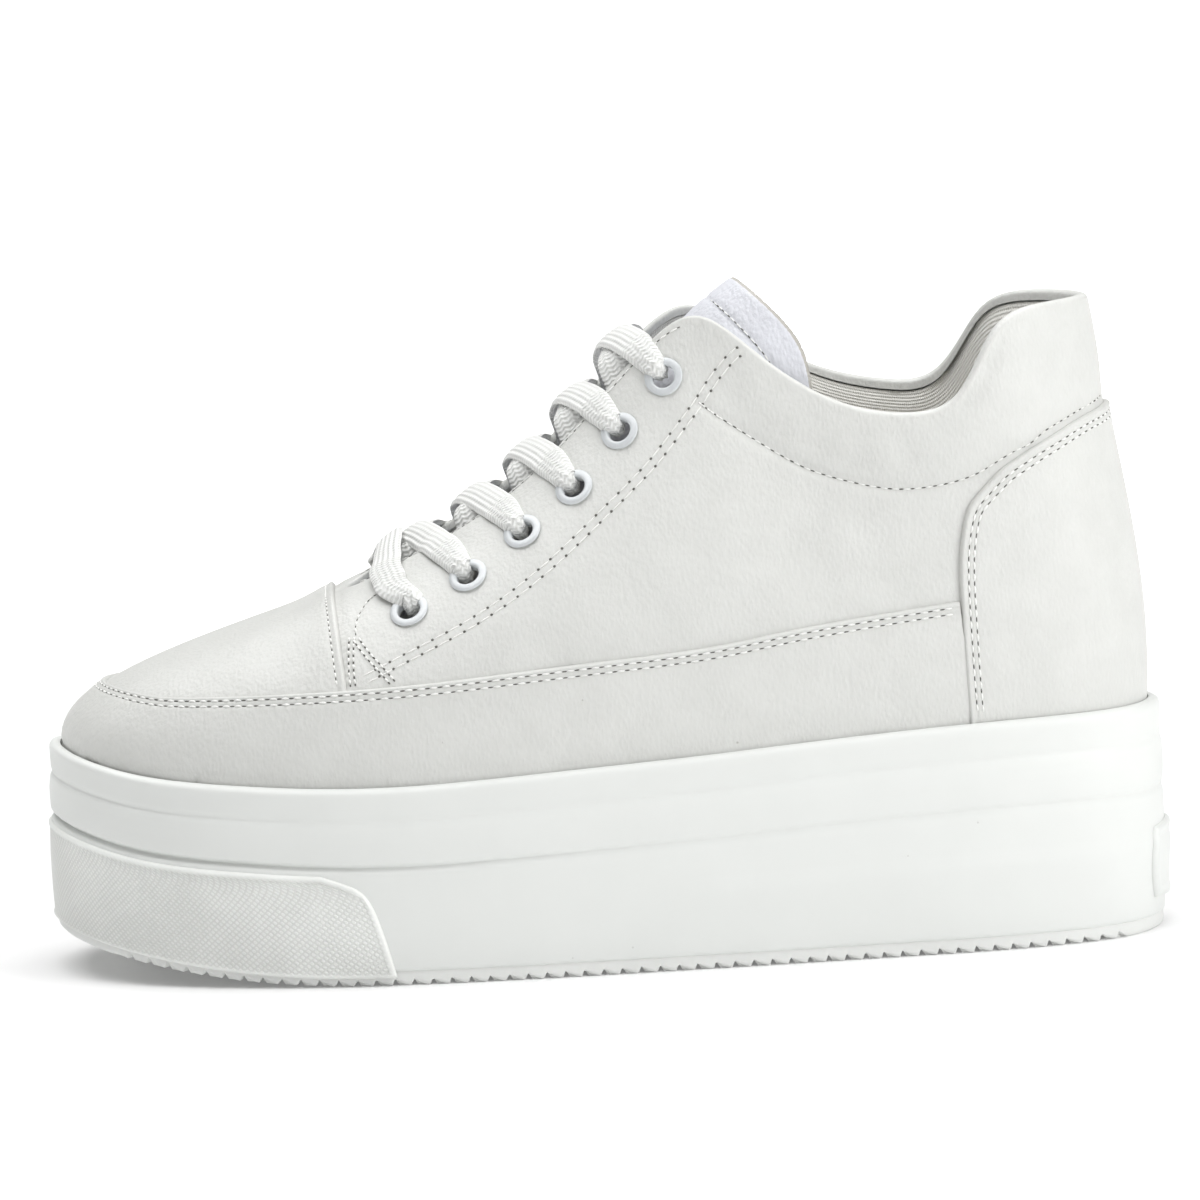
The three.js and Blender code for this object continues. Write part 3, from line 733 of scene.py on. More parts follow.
def bumper_faces(u, w):
    share = 1 - w
    end = np.interp(np.interp(share, back_line[:, 1], back_line[:, 0]), half_x, half_ring)
    t = (2 * u - 1) * end
    x = sole_wall(t, 1.4)[:, 0]
    top, foot = groove_z(x) - 1.7, foot_z(x) - BUMPER_BELOW
    height = mix(top, foot, share)
    level = 1 + (groove_z(x) - height) / (groove_z(x) - foot_z(x))
    place = sole_wall(t, np.minimum(level, 1.97))
    place[:, 2] = height
    height = top - foot
    line = np.stack([back_line[:, 0], back_line[:, 1]])
    gap = np.hypot(x[:, None] - line[0], (share[:, None] - line[1]) * height[:, None]).min(1)
    edge = np.minimum(np.minimum(gap, share * height), (1 - share) * height + 0.4)
    edge = np.where(w * (1 - w) * u * (1 - u) < 1e-6, 0, edge)
    proud = BUMPER_PROUD * np.sqrt(1 - (1 - np.clip(edge / 0.5, 0, 1)) ** 2) + 0.05
    field = ease((edge - 0.9) / 0.4)
    outer = place + outward_at(t) * (proud - 0.28 * field)[:, None]
    # the bumper's soil mark makes it darker towards the bottom
    return outer, place + outward_at(t) * 0.03, {"field": field, "soil": 0.3 * (1 - w)}


bumper = sheet("toe_bumper_skin", 300, 48, bumper_faces, angle=60)
bumper.data.materials.append(LIGHTENED_BUMPER_RUBBER)
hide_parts("toe_bumper")
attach(bumper, "root")

# %% Heel plate
PLATE = {"half": 19, "low": 7, "high": 25.5, "proud": 1.2}


def plate_faces(u, w):
    a, b = 2 * u - 1, 2 * w - 1
    side, rise = a * np.sqrt(1 - 0.16 * b**2), b * np.sqrt(1 - 0.16 * a**2)
    near = np.linspace(SIDE_RIBS - 2, SIDE_RIBS + 2, 300)
    t = np.interp(side * PLATE["half"], sole_wall(near, 1.4)[:, 1], near)
    x = sole_wall(t, 1.4)[:, 0]
    z = mix(PLATE["low"], PLATE["high"], (rise + 1) / 2)
    place = sole_wall(t, 1 + (groove_z(x) - z) / (groove_z(x) - foot_z(x)))
    edge = np.minimum((1 - np.abs(a)) * PLATE["half"], (1 - np.abs(b)) * 9.2)
    proud = PLATE["proud"] * np.sqrt(1 - (1 - np.clip(edge / 0.9, 0, 1)) ** 2)
    proud = proud - 0.3 * ease((edge - 1.8) / 0.8) + 0.05
    return place + outward_at(t) * proud[:, None], place + outward_at(t) * 0.03


plate = sheet("heel_plate_blank", 48, 36, plate_faces, angle=60)
plate.data.materials.append(SOLE_RUBBER)
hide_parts("heel_plate")
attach(plate, "root")

# %% [markdown]
# ### Tread
#
# The ribs across the underside keep their CAD shape and get a rubber finish. Their ends show as
# a row of teeth along the sole's edge, flush with the wall, so a toothed band is laid round
# them. It is a closed ring whose lower edge follows a saw line: each tooth falls slowly towards
# the heel and rises steeply again. An array of single teeth would not follow the outline.

# %% Tread and its toothed edge
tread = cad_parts["outsole"]
tread.data.materials.clear()
tread.data.materials.append(TREAD_RUBBER)
TOOTH = {"first": -118.1, "last": 122.8, "pitch": 4.4, "high": 1.45, "steep": 0.17}
BAND_PATH = columns("""
  out  rise
  -0.9 1
  -0.5 0.97
  -0.4 0.9
  -0.4 0.45
  -0.5 0.12
  -0.9 0
  -3.2 0
  -3.2 1
  -0.9 1
""")


def tooth_height(x):
    """The saw line of the tread's lower edge."""
    phase = np.mod((x - TOOTH["first"]) / TOOTH["pitch"], 1)
    fall = (1 - np.clip(phase / (1 - TOOTH["steep"]), 0, 1)) ** 1.5
    climb = ease((phase - 1 + TOOTH["steep"]) / TOOTH["steep"])
    inside = ease((x - TOOTH["first"]) / 3) * ease((TOOTH["last"] - x) / 3)
    return TOOTH["high"] * np.maximum(fall, climb) * inside


def band_form(t, w):
    station = w * (len(BAND_PATH["out"]) - 1)
    out = np.interp(station, np.arange(len(BAND_PATH["out"])), BAND_PATH["out"])
    rise = np.interp(station, np.arange(len(BAND_PATH["out"])), BAND_PATH["rise"])
    edge = base_at(t) + outward_at(t) * (RIM_REACH - 0.4)
    point = base_at(t) + outward_at(t) * (RIM_REACH + out)[:, None]
    ground = foot_z(edge[:, 0]) - TREAD - GAP - BAND
    low = ground + 0.02 + tooth_height(edge[:, 0])
    point[:, 2] = mix(low, foot_z(edge[:, 0]) + 0.1, rise)
    return point


band = body("tread_toothed_edge", 1500, 2 * (len(BAND_PATH["out"]) - 1), band_form, angle=45)
band.data.materials.append(TREAD_RUBBER)
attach(band, "root")
print("tread keeps its CAD shape:", tread.name)

# %% [markdown]
# ## Where the seams run
#
# Every seam was drawn from the side, so it is written here as places along the shoe (x) and
# heights (z) on the outer side. `on_skin` looks up where on the last such a place lies, as a
# rib and a height. The inner side uses the same ribs and heights, counted back from the toe.

# %% Finding a place on the skin
look_t, look_v = (g.ravel() for g in np.meshgrid(np.linspace(0.02, 14.98, 420), np.linspace(0, 1, 150)))
look_xz = rib_point(look_t, look_v)[:, [0, 2]]


def on_skin(x, z):
    """Rib and height of the outer-side skin that shows at x and z."""
    found = []
    for spot in np.stack([x, z], 1):
        nearest = np.argmin(((look_xz - spot) ** 2).sum(1))
        t, v = look_t[nearest], look_v[nearest]
        for _ in range(6):
            per_rib, per_height = slopes(np.array(t), np.array(v))
            turn = np.stack([per_rib[[0, 2]], per_height[[0, 2]]], 1)
            miss = spot - rib_point(t, v)[[0, 2]]
            step = np.linalg.lstsq(turn, miss, rcond=None)[0]
            t, v = t + np.clip(step[0], -0.2, 0.2), min(1.0, v + np.clip(step[1], -0.05, 0.05))
        found.append((t, v))
    return np.array(found)


def seam(text, count=400):
    """A smooth seam through a written table of x and z, as ribs and heights."""
    table = columns(text)
    line = fair_line(on_skin(table["x"], table["z"]))
    return line(np.linspace(0, len(table["x"]) - 1, count))


def across_shoe(line):
    """The same seam on the inner side."""
    return np.stack([TURN - line[:, 0], line[:, 1]], 1)


def lengths(points):
    return np.concatenate([[0], np.cumsum(np.linalg.norm(np.diff(points, axis=0), axis=1))])


def beside(line, distance, side=1):
    """The seam moved sideways over the skin, to its right-hand side for +1."""
    t, v = line[:, 0], line[:, 1]
    per_rib, per_height = slopes(t, v)
    along = unit(np.gradient(rib_point(t, v), axis=0))
    normal = unit(np.cross(per_rib, per_height))
    way = np.cross(along, normal) * side
    turn = np.stack([per_rib, per_height], -1)
    step = np.stack([np.linalg.lstsq(m, d, rcond=None)[0] for m, d in zip(turn, way)])
    return line + step * distance


# %% Seams of the upper
EYESTAY_SEAM = seam("""
  x     z
  -57   71.2
  -50.4 74.3
  -44.3 77.1
  -38.3 79.9
  -32.2 82.9
  -26.4 86.2
  -20.7 89.8
  -15.2 93.8
  -10.1 97.8
  0     106.6
  10.2  115.9
  15    121.1
  19.1  126
  23.1  130.9
  26.8  136
  30.8  140.6
  32.7  142.8
  35.2  145.9
""")
COLLAR_SEAM = seam("""
  x     z
  24    131
  29.2  127
  37.7  121.2
  46.8  115.6
  51.7  113.4
  58.6  111.2
  65.5  109.6
  71.3  109
  80.9  109.8
  90.1  112.6
  99.5  117.2
  104.4 120
  110   122.7
  116   125.1
  122   127.3
""")
STAY_FRONT = seam("""
  x     z
  -49   89.6
  -51.1 89.2
  -53.7 88.1
  -55.9 85.9
  -57.2 83.9
  -57.9 81.9
  -57.9 80
""")
POST = seam("""
  x     z
  -58.2 80
  -58.6 75.8
  -58.7 72.3
  -58.4 69.2
""")
BRACE = seam("""
  x     z
  -57.4 79.8
  -54.7 76.1
  -51.9 73.1
  -48.6 69.2
""")
COLLAR_CREASE = seam("""
  x    z
  98.9 146.7
  94.8 142.5
  90.9 134.1
  86.1 128.7
""")
print("seams end at", rib_point(*EYESTAY_SEAM[-1]).round(1), rib_point(*COLLAR_SEAM[-1]).round(1))

# %% [markdown]
# ## The upper's leather
#
# One sheet of leather makes quarters and collar here. It rises from under the rim of the sole,
# rolls over the padded top edge and ends a few millimetres down the inside, where the lining
# begins. The main creases are placed one by one, as soft troughs and ridges in the shoe's sizes:
# the stitch lines pull the leather down a little, the collar swells above its seam, and the
# leather folds where the heel notch turns and where the foot bends.

# %% Relief of the leather
WALL, PAD = 2.0, 3.4
LEATHER = 0.9
FOLD_IN = 1.6
CREASES = [  # x, z, x, z, depth, width, on the outer (-1) or inner (1) side
    (-47, 66, -38, 56, 0.35, 3.2, -1),
    (-40, 67, -33, 58, 0.25, 2.6, -1),
    (-20, 78, -8, 71, 0.22, 4.0, -1),
    (40, 100, 52, 82, 0.2, 6.0, -1),
    (60, 104, 66, 92, 0.18, 4.0, -1),
    (70, 123, 73, 113, 0.3, 3.0, -1),
    (52, 127, 50, 118, 0.25, 3.0, -1),
    (-48, 67, -36, 55, 0.4, 3.4, 1),
    (-18, 80, -6, 70, 0.25, 4.0, 1),
    (62, 122, 66, 112, 0.3, 3.0, 1),
]


def nearest(points, line):
    """Distance from each point to a line given by many points."""
    parts = np.array_split(points, 60)
    return np.concatenate([np.sqrt(((part[:, None] - line) ** 2).sum(-1).min(1)) for part in parts])


def both_sides(*lines):
    pairs = [line for seam_line in lines for line in (seam_line, across_shoe(seam_line))]
    return np.vstack([rib_point(pair[::4, 0], pair[::4, 1]) for pair in pairs])


def from_toe(t):
    t = np.mod(t, TURN)
    return np.minimum(t, TURN - t)


def wall_depth(t, v):
    """Thickness of leather, foam and lining together: the foam swells behind the collar."""
    collar = ease((from_toe(t) - 7.5) / 2)
    return WALL + PAD * collar * np.sin(np.pi * np.clip((v - 0.5) / 0.56, 0, 1))


def toe_edge_x(z):
    """The straight rear edge of the toe piece, seen from the side."""
    return -60.2 - 0.105 * (z - 66)


rib_of_seam = COLLAR_SEAM[np.argsort(COLLAR_SEAM[:, 0])]


def relief(t, v):
    """How far the leather stands out of the last, and how grey it is painted: dirt and painted shade.
    """
    place = rib_point(t, v)
    stitched = nearest(place, both_sides(EYESTAY_SEAM, beside(EYESTAY_SEAM, 2), STAY_FRONT))
    collar = nearest(place, both_sides(COLLAR_SEAM))
    folded = nearest(place, both_sides(COLLAR_CREASE))
    seam_v = np.interp(from_toe(t), rib_of_seam[:, 0], rib_of_seam[:, 1])
    share = np.clip((v - seam_v) / np.maximum(1 - seam_v, 0.05), 0, 1)
    swell = 0.75 * np.sin(np.pi * share) * ease((from_toe(t) - 7.6) / 1.2) * (v < 1)
    behind_toe = place[:, 0] - toe_edge_x(place[:, 2])
    toe_gap = trough(behind_toe - 0.6, 0.8) * (place[:, 2] < 92)
    out = swell - 0.16 * trough(stitched, 0.7) - 0.5 * trough(collar, 1.1) - 0.5 * trough(folded, 2.2)
    out = out - 0.3 * toe_gap
    for x1, z1, x2, z2, depth, width, side in CREASES:
        start, way = np.array([x1, z1]), np.array([x2 - x1, z2 - z1])
        along = ((place[:, [0, 2]] - start) @ way) / (way @ way)
        off = np.linalg.norm(place[:, [0, 2]] - start - np.clip(along, 0, 1)[:, None] * way, axis=1)
        fade = ease(2 * np.clip(1 - np.abs(2 * along - 1), 0, 1) + 0.2)
        ripple = trough(off, width) - 0.6 * trough(off - 1.9 * width, width)
        out = out - depth * ripple * fade * (place[:, 1] * side > 0)
    # Painted into the colour: greyer along stitch lines and the collar seam (dirt and painted shade),
    # painted shade where the leather goes under the sole's rim, and a painted shadow in the gap behind
    # the toe piece's edge.
    soil = 0.35 * trough(stitched, 0.5) + 0.35 * trough(collar, 0.6) + 0.35 * trough(v * 60, 1.5)
    soil = soil + 0.9 * toe_gap
    return out, soil


# %% Punching the eyelet holes
EYELET_RIB = [4, 4.52, 5.03, 5.64, 6.22, 6.92]
EYELET_UP = [0.555, 0.611, 0.686, 0.737, 0.823, 0.89]
PUNCH = 2.9


def at_eyelet(hand, rib, height):
    """The turn and shift that take a ring lying at the origin to its eyelet. hand is 1 outside."""
    place, normal = skin(np.array(hand * float(rib)), np.array(height), 0.0)
    turn = Vector(normal).to_track_quat("Z", "Y").to_matrix().to_4x4()
    return Matrix.Translation(Vector((place + SHIFT) * MM)) @ turn


def drill_eyelet_holes(piece):
    """Cuts a round hole through the piece at each eyelet, with one cutter of twelve punches."""
    clear_hands()
    punches = []
    for hand in (1, -1):
        for rib, height in zip(EYELET_RIB, EYELET_UP):
            bpy.ops.mesh.primitive_cylinder_add(vertices=24, radius=PUNCH * MM, depth=9 * MM)
            punch = bpy.context.object
            punch.data.transform(at_eyelet(hand, rib, height))
            punches.append(punch)
    for punch in punches:
        punch.select_set(True)
    bpy.ops.object.join()
    cutter = bpy.context.object
    cutter.data.materials.append(piece.data.materials[0])
    clear_hands()
    bpy.context.view_layer.objects.active = piece
    cut = piece.modifiers.new("eyelet_holes", "BOOLEAN")
    cut.operation, cut.object, cut.solver = "DIFFERENCE", cutter, "MANIFOLD"
    before = len(piece.data.polygons)
    bpy.ops.object.modifier_apply(modifier="eyelet_holes")
    bpy.data.objects.remove(cutter)
    print(piece.name, "faces before and after the holes:", before, len(piece.data.polygons))


# %% Leather shell
SHELL_HEIGHTS = np.concatenate([[-1, -0.5], np.linspace(0, 1, 92)])
ROLL_ROWS, FOLD_ROWS = 9, 4  # over the top edge, then down inside
SHELL_STATIONS = len(SHELL_HEIGHTS) + ROLL_ROWS + FOLD_ROWS


def over_the_top(t, station, sink):
    """The path of the leather: up the outside, over the top edge, a little way down inside."""
    count = len(SHELL_HEIGHTS)
    outside = np.clip(station, 0, count - 1)
    v = np.interp(outside, np.arange(count), SHELL_HEIGHTS)
    out, soil = relief(t, v)
    point, _ = skin(t, v, out - sink)
    depth = wall_depth(t, 1.0)
    thin = np.minimum(sink, 0.45 * depth)
    centre, normal_top = skin(t, np.ones(t.shape), -depth / 2)
    upwards = unit(rib_point(t, 1.0) - rib_point(t, 0.995))
    turns = np.linspace(0, math.pi, ROLL_ROWS + 2)
    angle = np.interp(station, count - 1 + np.arange(len(turns)), turns)
    wide, high = (depth / 2 - thin)[:, None], (0.42 * depth - 0.84 * thin)[:, None]
    roll = centre + normal_top * wide * np.cos(angle)[:, None] + upwards * high * np.sin(angle)[:, None]
    length = rib_length(t)
    down = np.clip((station - count - ROLL_ROWS) / FOLD_ROWS, 0, 1) * FOLD_IN / length
    fold, _ = skin(t, 1 - down, -wall_depth(t, 1 - down) + thin)
    point = np.where((station > count - 1)[:, None], roll, point)
    return np.where((station > count + ROLL_ROWS)[:, None], fold, point), soil


def leather_faces(u, w):
    t, station = u * TURN, w * (SHELL_STATIONS - 1)
    outer, soil = over_the_top(t, station, 0.0)
    inner, _ = over_the_top(t, station, LEATHER)
    return outer, inner, {"soil": np.where(w < 0.86, soil, 0.0)}


leather = sheet("upper_leather", 430, SHELL_STATIONS - 1, leather_faces, angle=60, ring=True)
leather.data.materials.append(WHITE_LEATHER)
drill_eyelet_holes(leather)
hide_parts("upper")
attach(leather, "root")

# %% [markdown]
# ### Padded lining
#
# Inside lies the lining. Around the collar it is backed with foam, so it is modelled as a closed
# pad: thin at the throat, thick behind the collar, and pinched where the leather folds over it.
# A cloth simulation would swell it blindly into the heel, so its crown is worked out instead.

# %% Lining pad
LINING_BACK = LEATHER + 0.12
PUCKERS = [  # x, z, width, depth
    (93, 140, 5.5, 0.7),
    (88, 131, 5, 0.55),
    (99, 146, 4, 0.4),
    (76, 128, 5, 0.3),
]


def lining_faces(u, w):
    t = u * TURN
    length = rib_length(t)
    top = 1 - (FOLD_IN + 0.05) / length
    v = mix(-0.6, top, w)
    rim = np.minimum((1 - w) * (top + 0.6) * length, 1.2)
    rounded = 1 - np.sqrt(1 - (1 - rim / 1.2) ** 2)
    depth = np.maximum(wall_depth(t, v) - 0.45 * rounded, LINING_BACK + 0.1)
    place = rib_point(t, v)
    for x, z, width, deep in PUCKERS:
        off = np.abs((place[:, 0] - x) * 0.94 - (place[:, 2] - z) * 0.34)
        near_pucker = trough(np.abs(place[:, 2] - z), 14) * trough(off, width / 2)
        depth = depth - deep * near_pucker * (from_toe(t) > 9)
    inside, _ = skin(t, v, -depth)
    hidden, _ = skin(t, v, np.full(t.shape, -LINING_BACK))
    # painted shade: the lining is darker along its top, where the leather folds over it
    return inside, hidden, {"soil": 0.25 * trough((1 - w) * 60, 1.0)}


lining = sheet("collar_padding", 340, 52, lining_faces, angle=60, ring=True)
lining.data.materials.append(LINING)
drill_eyelet_holes(lining)
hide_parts("upper")
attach(lining, "root")

# %% [markdown]
# ### Overlays with folded edges
#
# The toe piece, the mudguard and the heel counter lie on the upper. Their edges are skived,
# folded under and stitched down, so an edge is round and a little thicker than the leather
# behind it. `overlay` takes the seam that is the piece's edge and a line at its far side,
# and lays rows beside the edge first, close together, and then evenly across to the far side.

# %% Overlay pieces
BORDER = 7.0
EDGE_ROWS = np.array([
    0, 0.04, 0.12, 0.24, 0.4, 0.62, 0.85, 1.1, 1.3, 1.5, 1.75, 2, 2.3, 2.6, 2.9, 3.3, 4, 5.2, 7,
])


def folded_height(distance, thick, rows=()):
    """Height of a folded edge, with a needle line pressed in at each row."""
    height = thick * np.sqrt(1 - (1 - np.clip(distance / (thick * 0.55), 0, 1)) ** 2)
    height = height + 0.2 * trough(distance - 0.75, 0.55) - 0.15 * ease((distance - 3) / 3)
    for row in rows:
        height = height - 0.16 * trough(distance - row, 0.3)
    return height


def overlay(name, edge, far, height, across, along, side=1):
    """A piece with its folded edge on the seam edge, reaching to the line far."""
    inward = (beside(edge, BORDER, side) - edge) / BORDER

    def faces(u, w):
        s = u * (len(edge) - 1)
        pick = lambda line: read_at(s, np.arange(len(edge)), line)
        border_rows = len(EDGE_ROWS) - 1
        row = w * along
        distance = np.interp(row, np.arange(len(EDGE_ROWS)), EDGE_ROWS)
        at_edge, way, end = pick(edge), pick(inward), pick(far)
        room = np.linalg.norm(rib_point(*(at_edge.T)) - rib_point(*(end.T)), axis=-1)
        distance = np.minimum(distance, distance * room / (BORDER + 2))
        start = at_edge + way * distance[:, None]
        share = np.clip((row - border_rows) / (along - border_rows), 0, 1)[:, None]
        t, v = (start + (end - start) * share).T
        beyond = distance + share[:, 0] * room
        top = height(beyond, t, v)
        outer, _ = skin(t, v, top)
        inner, _ = skin(t, v, np.minimum(0.3, top * 0.4) * (v > -0.5) + 0.02)
        # painted shade: a dark line along the folded edge where the gap beside it lies in shade, and a
        # softer darker band over the stitch rows, dirt and painted shade
        soil = 0.75 * trough(beyond, 0.35) + 0.25 * trough(beyond - 1.9, 1.2)
        return outer, inner, {"soil": soil}

    piece = sheet(name, across, along, faces, angle=60)
    piece.data.materials.append(WHITE_LEATHER)
    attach(piece, "root")
    return piece


# %% Mudguard
MUDGUARD_TOP = side_line(columns("""
  x    z
  -140 69.2
  -117 67.4
  -104 66.3
  -87  66.8
  -48  68.8
  -12  71.9
  22   74.6
  46   78.1
  83.2 82.5
  90   83.2
"""))
MUDGUARD_END = 83.1
MUDGUARD_THICK = 1.15
MUDGUARD_ROWS = (1.3, 2.7)


def height_at(t, target, top=0.8):
    """Height on each rib where target(point) turns from below to above."""
    low, high = np.zeros(t.shape), np.full(t.shape, top)
    for _ in range(30):
        middle = (low + high) / 2
        above = target(rib_point(t, middle)) > 0
        low, high = np.where(above, low, middle), np.where(above, middle, high)
    return low


def rib_at(x, v, start, stop):
    """Rib between start and stop whose skin at height v lies at x."""
    ribs = np.linspace(start, stop, 300)
    return np.interp(x, rib_point(ribs, v)[:, 0], ribs)


ribs = np.linspace(10.9, -10.9, 700)
heights = height_at(ribs, lambda p: p[:, 2] - MUDGUARD_TOP(p[:, 0]))
before_end = rib_point(ribs, heights)[:, 0] < MUDGUARD_END
mudguard_edge = np.stack([ribs[before_end], heights[before_end]], 1)
feather_end = rib_at(MUDGUARD_END, -0.7, 8, 14)
mudguard_far = np.stack([
    np.linspace(feather_end, -feather_end, len(mudguard_edge)),
    np.full(len(mudguard_edge), -0.8),
], 1)
mudguard = overlay(
    "toe_mudguard", mudguard_edge, mudguard_far,
    lambda d, t, v: folded_height(d, MUDGUARD_THICK, MUDGUARD_ROWS) - 0.25 * trough(v * 60, 1.2),
    380, 46, side=-1,
)
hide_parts("mudguard")

# %% Heel counter
counter_front = seam("""
  x    z
  84.3 54.4
  83.7 66
  83.3 80
  83.4 92
  84.6 100
  87.2 106
  92.8 111.6
  98.5 115.3
  104.4 118.4
  110  121
  116  123.4
  122  125.4
""", 300)
counter_front = np.vstack([[counter_front[0, 0] - 0.02, -0.8], counter_front])
heel_height = float(counter_front[-1, 1])
counter_tail = np.stack([
    np.linspace(counter_front[-1, 0], SIDE_RIBS, 24)[1:],
    np.full(23, heel_height) + np.linspace(0, 0.004, 24)[1:],
], 1)
half_edge = np.vstack([counter_front, counter_tail])
other_half = np.stack([TURN - half_edge[::-1, 0], half_edge[::-1, 1]], 1)
counter_path = np.vstack([half_edge, other_half[1:]])
far_along = lengths(rib_point(counter_path[:, 0], counter_path[:, 1]))
far_along = far_along / far_along[-1]
even = np.linspace(0, 1, 420)
counter_edge = read_at(even, far_along, counter_path)
start_rib = counter_edge[0, 0] + 0.1
counter_far = np.stack([np.linspace(start_rib, TURN - start_rib, 420), np.full(420, -0.8)], 1)
COUNTER_THICK = 1.3
COUNTER_ROWS = (2.0, 3.4)
counter = overlay(
    "heel_counter_leather", counter_edge, counter_far,
    lambda d, t, v: folded_height(d, COUNTER_THICK, COUNTER_ROWS),
    360, 48, side=1,
)
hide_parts("heel_counter")

# %% Toe piece
TOE_THICK = 0.85
TOE_TUCK = 12.0  # how far it reaches down under the mudguard


def evenly(line, count):
    """The same line with its points at even steps over the skin."""
    run = lengths(rib_point(line[:, 0], line[:, 1]))
    return read_at(np.linspace(0, run[-1], count), run, line)


def toe_depth(point):
    """Height over the line at which the toe piece ends, under the mudguard."""
    return point[:, 2] + TOE_TUCK - MUDGUARD_TOP(point[:, 0])


ribs = np.linspace(4.6, -4.6, 900)
rear_heights = height_at(ribs, lambda p: p[:, 0] - toe_edge_x(p[:, 2]), 1.0)
shows = toe_depth(rib_point(ribs, rear_heights)) > 0
toe_edge = evenly(np.stack([ribs, rear_heights], 1)[shows], 260)
corner = toe_edge[0, 0]
ribs = np.linspace(corner, -corner, 900)
toe_far = evenly(np.stack([ribs, height_at(ribs, toe_depth)], 1), 260)
toe_piece = overlay(
    "toe_piece", toe_edge, toe_far,
    lambda d, t, v: (folded_height(d, TOE_THICK, (2.1,)) - 0.45 * ease((d - 3) / 9))
    * ease((toe_depth(rib_point(t, v)) - TOE_TUCK + 5) / 4) + 0.04,
    260, 60, side=-1,
)
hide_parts("upper")

# %% [markdown]
# ### Tongue and footbed
#
# The tongue is one thick sheet curved over the instep, cut square across its top, where the
# split fibres of the leather show. The footbed is a closed slab that fills the shoe from toe to
# heel, climbs over a hidden wedge and is dished a little under the foot.

# %% The tilted frame of the throat
ORIGIN = np.array([-60, 0, 88.4])
ALONG = unit(np.array([82, 0, 61.2]))
UPWARDS = np.array([-ALONG[2], 0, ALONG[0]])


def in_throat(along, side, rise):
    along, side, rise = np.broadcast_arrays(along, side, rise)
    place = ORIGIN + along[..., None] * ALONG + rise[..., None] * UPWARDS
    return place + side[..., None] * np.array([0, 1, 0])


# %% Tongue
TONGUE = columns("""
  along rise half depth
  -9    0.2  23   9
  0     -3   24   10
  20    -8   25   13
  40    -8.9 25   17
  60    -6.6 24.5 24
  80    -4.6 24   29
  100   -1.3 23   31
  118   -0.4 23.4 31
""")
TONGUE_WRAP, TOP_WRAP = 1.3, 1.62
TONGUE_THICK = 1.7
TOP_BOW = fair_line([0, 0.7, 1.6, 2.4, 1.5, -3.4])  # how the top edge bows, by angle from the middle
TONGUE_SEAM = 8.0
tongue_line = fair_line(np.stack(list(TONGUE.values()), 1))


def tongue_point(across, row, sink):
    """across runs from -1 to 1; row is counted down the table."""
    along, rise, half, depth = tongue_line(row).T
    near_top = ease((row - 5) / 2)
    angle = mix(TONGUE_WRAP, TOP_WRAP, near_top) * across
    along = along + ease((row - 5.8) / 1.2) * TOP_BOW(np.abs(angle) / TOP_WRAP * 5)
    side = (half - sink - 1.2 * ease((np.abs(angle) - 1.1) / 0.5)) * np.sin(angle)
    return in_throat(along, side, rise - sink - (depth - sink) * (1 - np.cos(angle)))


def tongue_faces(u, w):
    rows = len(TONGUE["along"]) - 1
    across, row = 2 * u - 1, mix(0, rows, 1 - (1 - w) ** 1.25)
    from_top = (rows - row) * 18
    from_side = (1 - np.abs(across)) * 30
    edge = np.minimum(from_top, from_side)
    ripple = 0.35 * np.sin(across * 7 + row * 3.1) * ease(row - 4.5) * (1 - across**2)
    pressed = 0.3 * trough(from_top - TONGUE_SEAM, 0.7) + 0.35 * (1 - ease(edge / 1.2))
    ragged = 0.18 * np.sin(across * 173) + 0.12 * np.sin(across * 311 + 1)
    row = row + ragged * (from_top < 0.6) * 0.04
    outer = tongue_point(across, row, pressed - ripple + 0.02)
    inner = tongue_point(across, row, TONGUE_THICK - 0.3 * (1 - ease(edge / 1.2)) - ripple)
    raw = 1 - ease((from_top - 0.3) / 0.9)
    # the tongue is darker along its pressed stitch row: dirt and painted shade
    return outer, inner, {"soil": 0.35 * trough(from_top - TONGUE_SEAM, 0.6), "raw": raw}


tongue = sheet("tongue_leather_sheet", 124, 124, tongue_faces, angle=40)
tongue.data.materials.append(TONGUE_LEATHER)
tongue.data.materials.append(RAW_EDGE)
rims = [f for f in tongue.data.polygons if f.area < 2.2e-6 and abs(f.normal.dot(Vector(ALONG))) > 0.8]
for face in rims:
    face.material_index = 1
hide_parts("tongue")
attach(tongue, "root")
print("raw edge faces:", len(rims))

# %% Footbed
FOOTBED_TOP = side_line(columns("""
  x    z
  -140 53
  -105 47.5
  -70  45
  -38  46
  -5   52.5
  30   65
  62   77
  95   85.5
  140  89
"""))
FOOTBED_THICK = 3.5


def footbed_form(t, w):
    """From the middle of the underside (0) by the rim (0.5) to the middle of the top (1)."""
    v = height_at(t, lambda p: p[:, 2] - FOOTBED_TOP(p[:, 0]))
    rim, _ = skin(t, v, -wall_depth(t, v) - 0.5)
    share = np.sin(np.minimum(np.minimum(w, 1 - w) / 0.49, 1) * math.pi / 2)[:, None]
    middle = np.stack([base_at(t)[:, 0] * 0.955, np.zeros(t.shape), np.zeros(t.shape)], -1)
    place = mix(middle, rim, share)
    dish = 1.6 * ease((share[:, 0] - 0.55) / 0.45)
    place[:, 2] = FOOTBED_TOP(place[:, 0]) - 1.6 + dish - FOOTBED_THICK * (w < 0.5)
    return place


footbed = body("footbed_sock", 240, 51, footbed_form)
footbed.data.materials.append(FOOTBED)
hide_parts("insole")
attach(footbed, "root")

# %% [markdown]
# ### Eyelets
#
# An eyelet is a ring of enamelled metal: a nearly flat flange with a rolled inner lip, and a
# barrel through the leather. One is turned up from a circle, ring by ring, with extrude and
# resize, and the other eleven are copies with their own mesh.

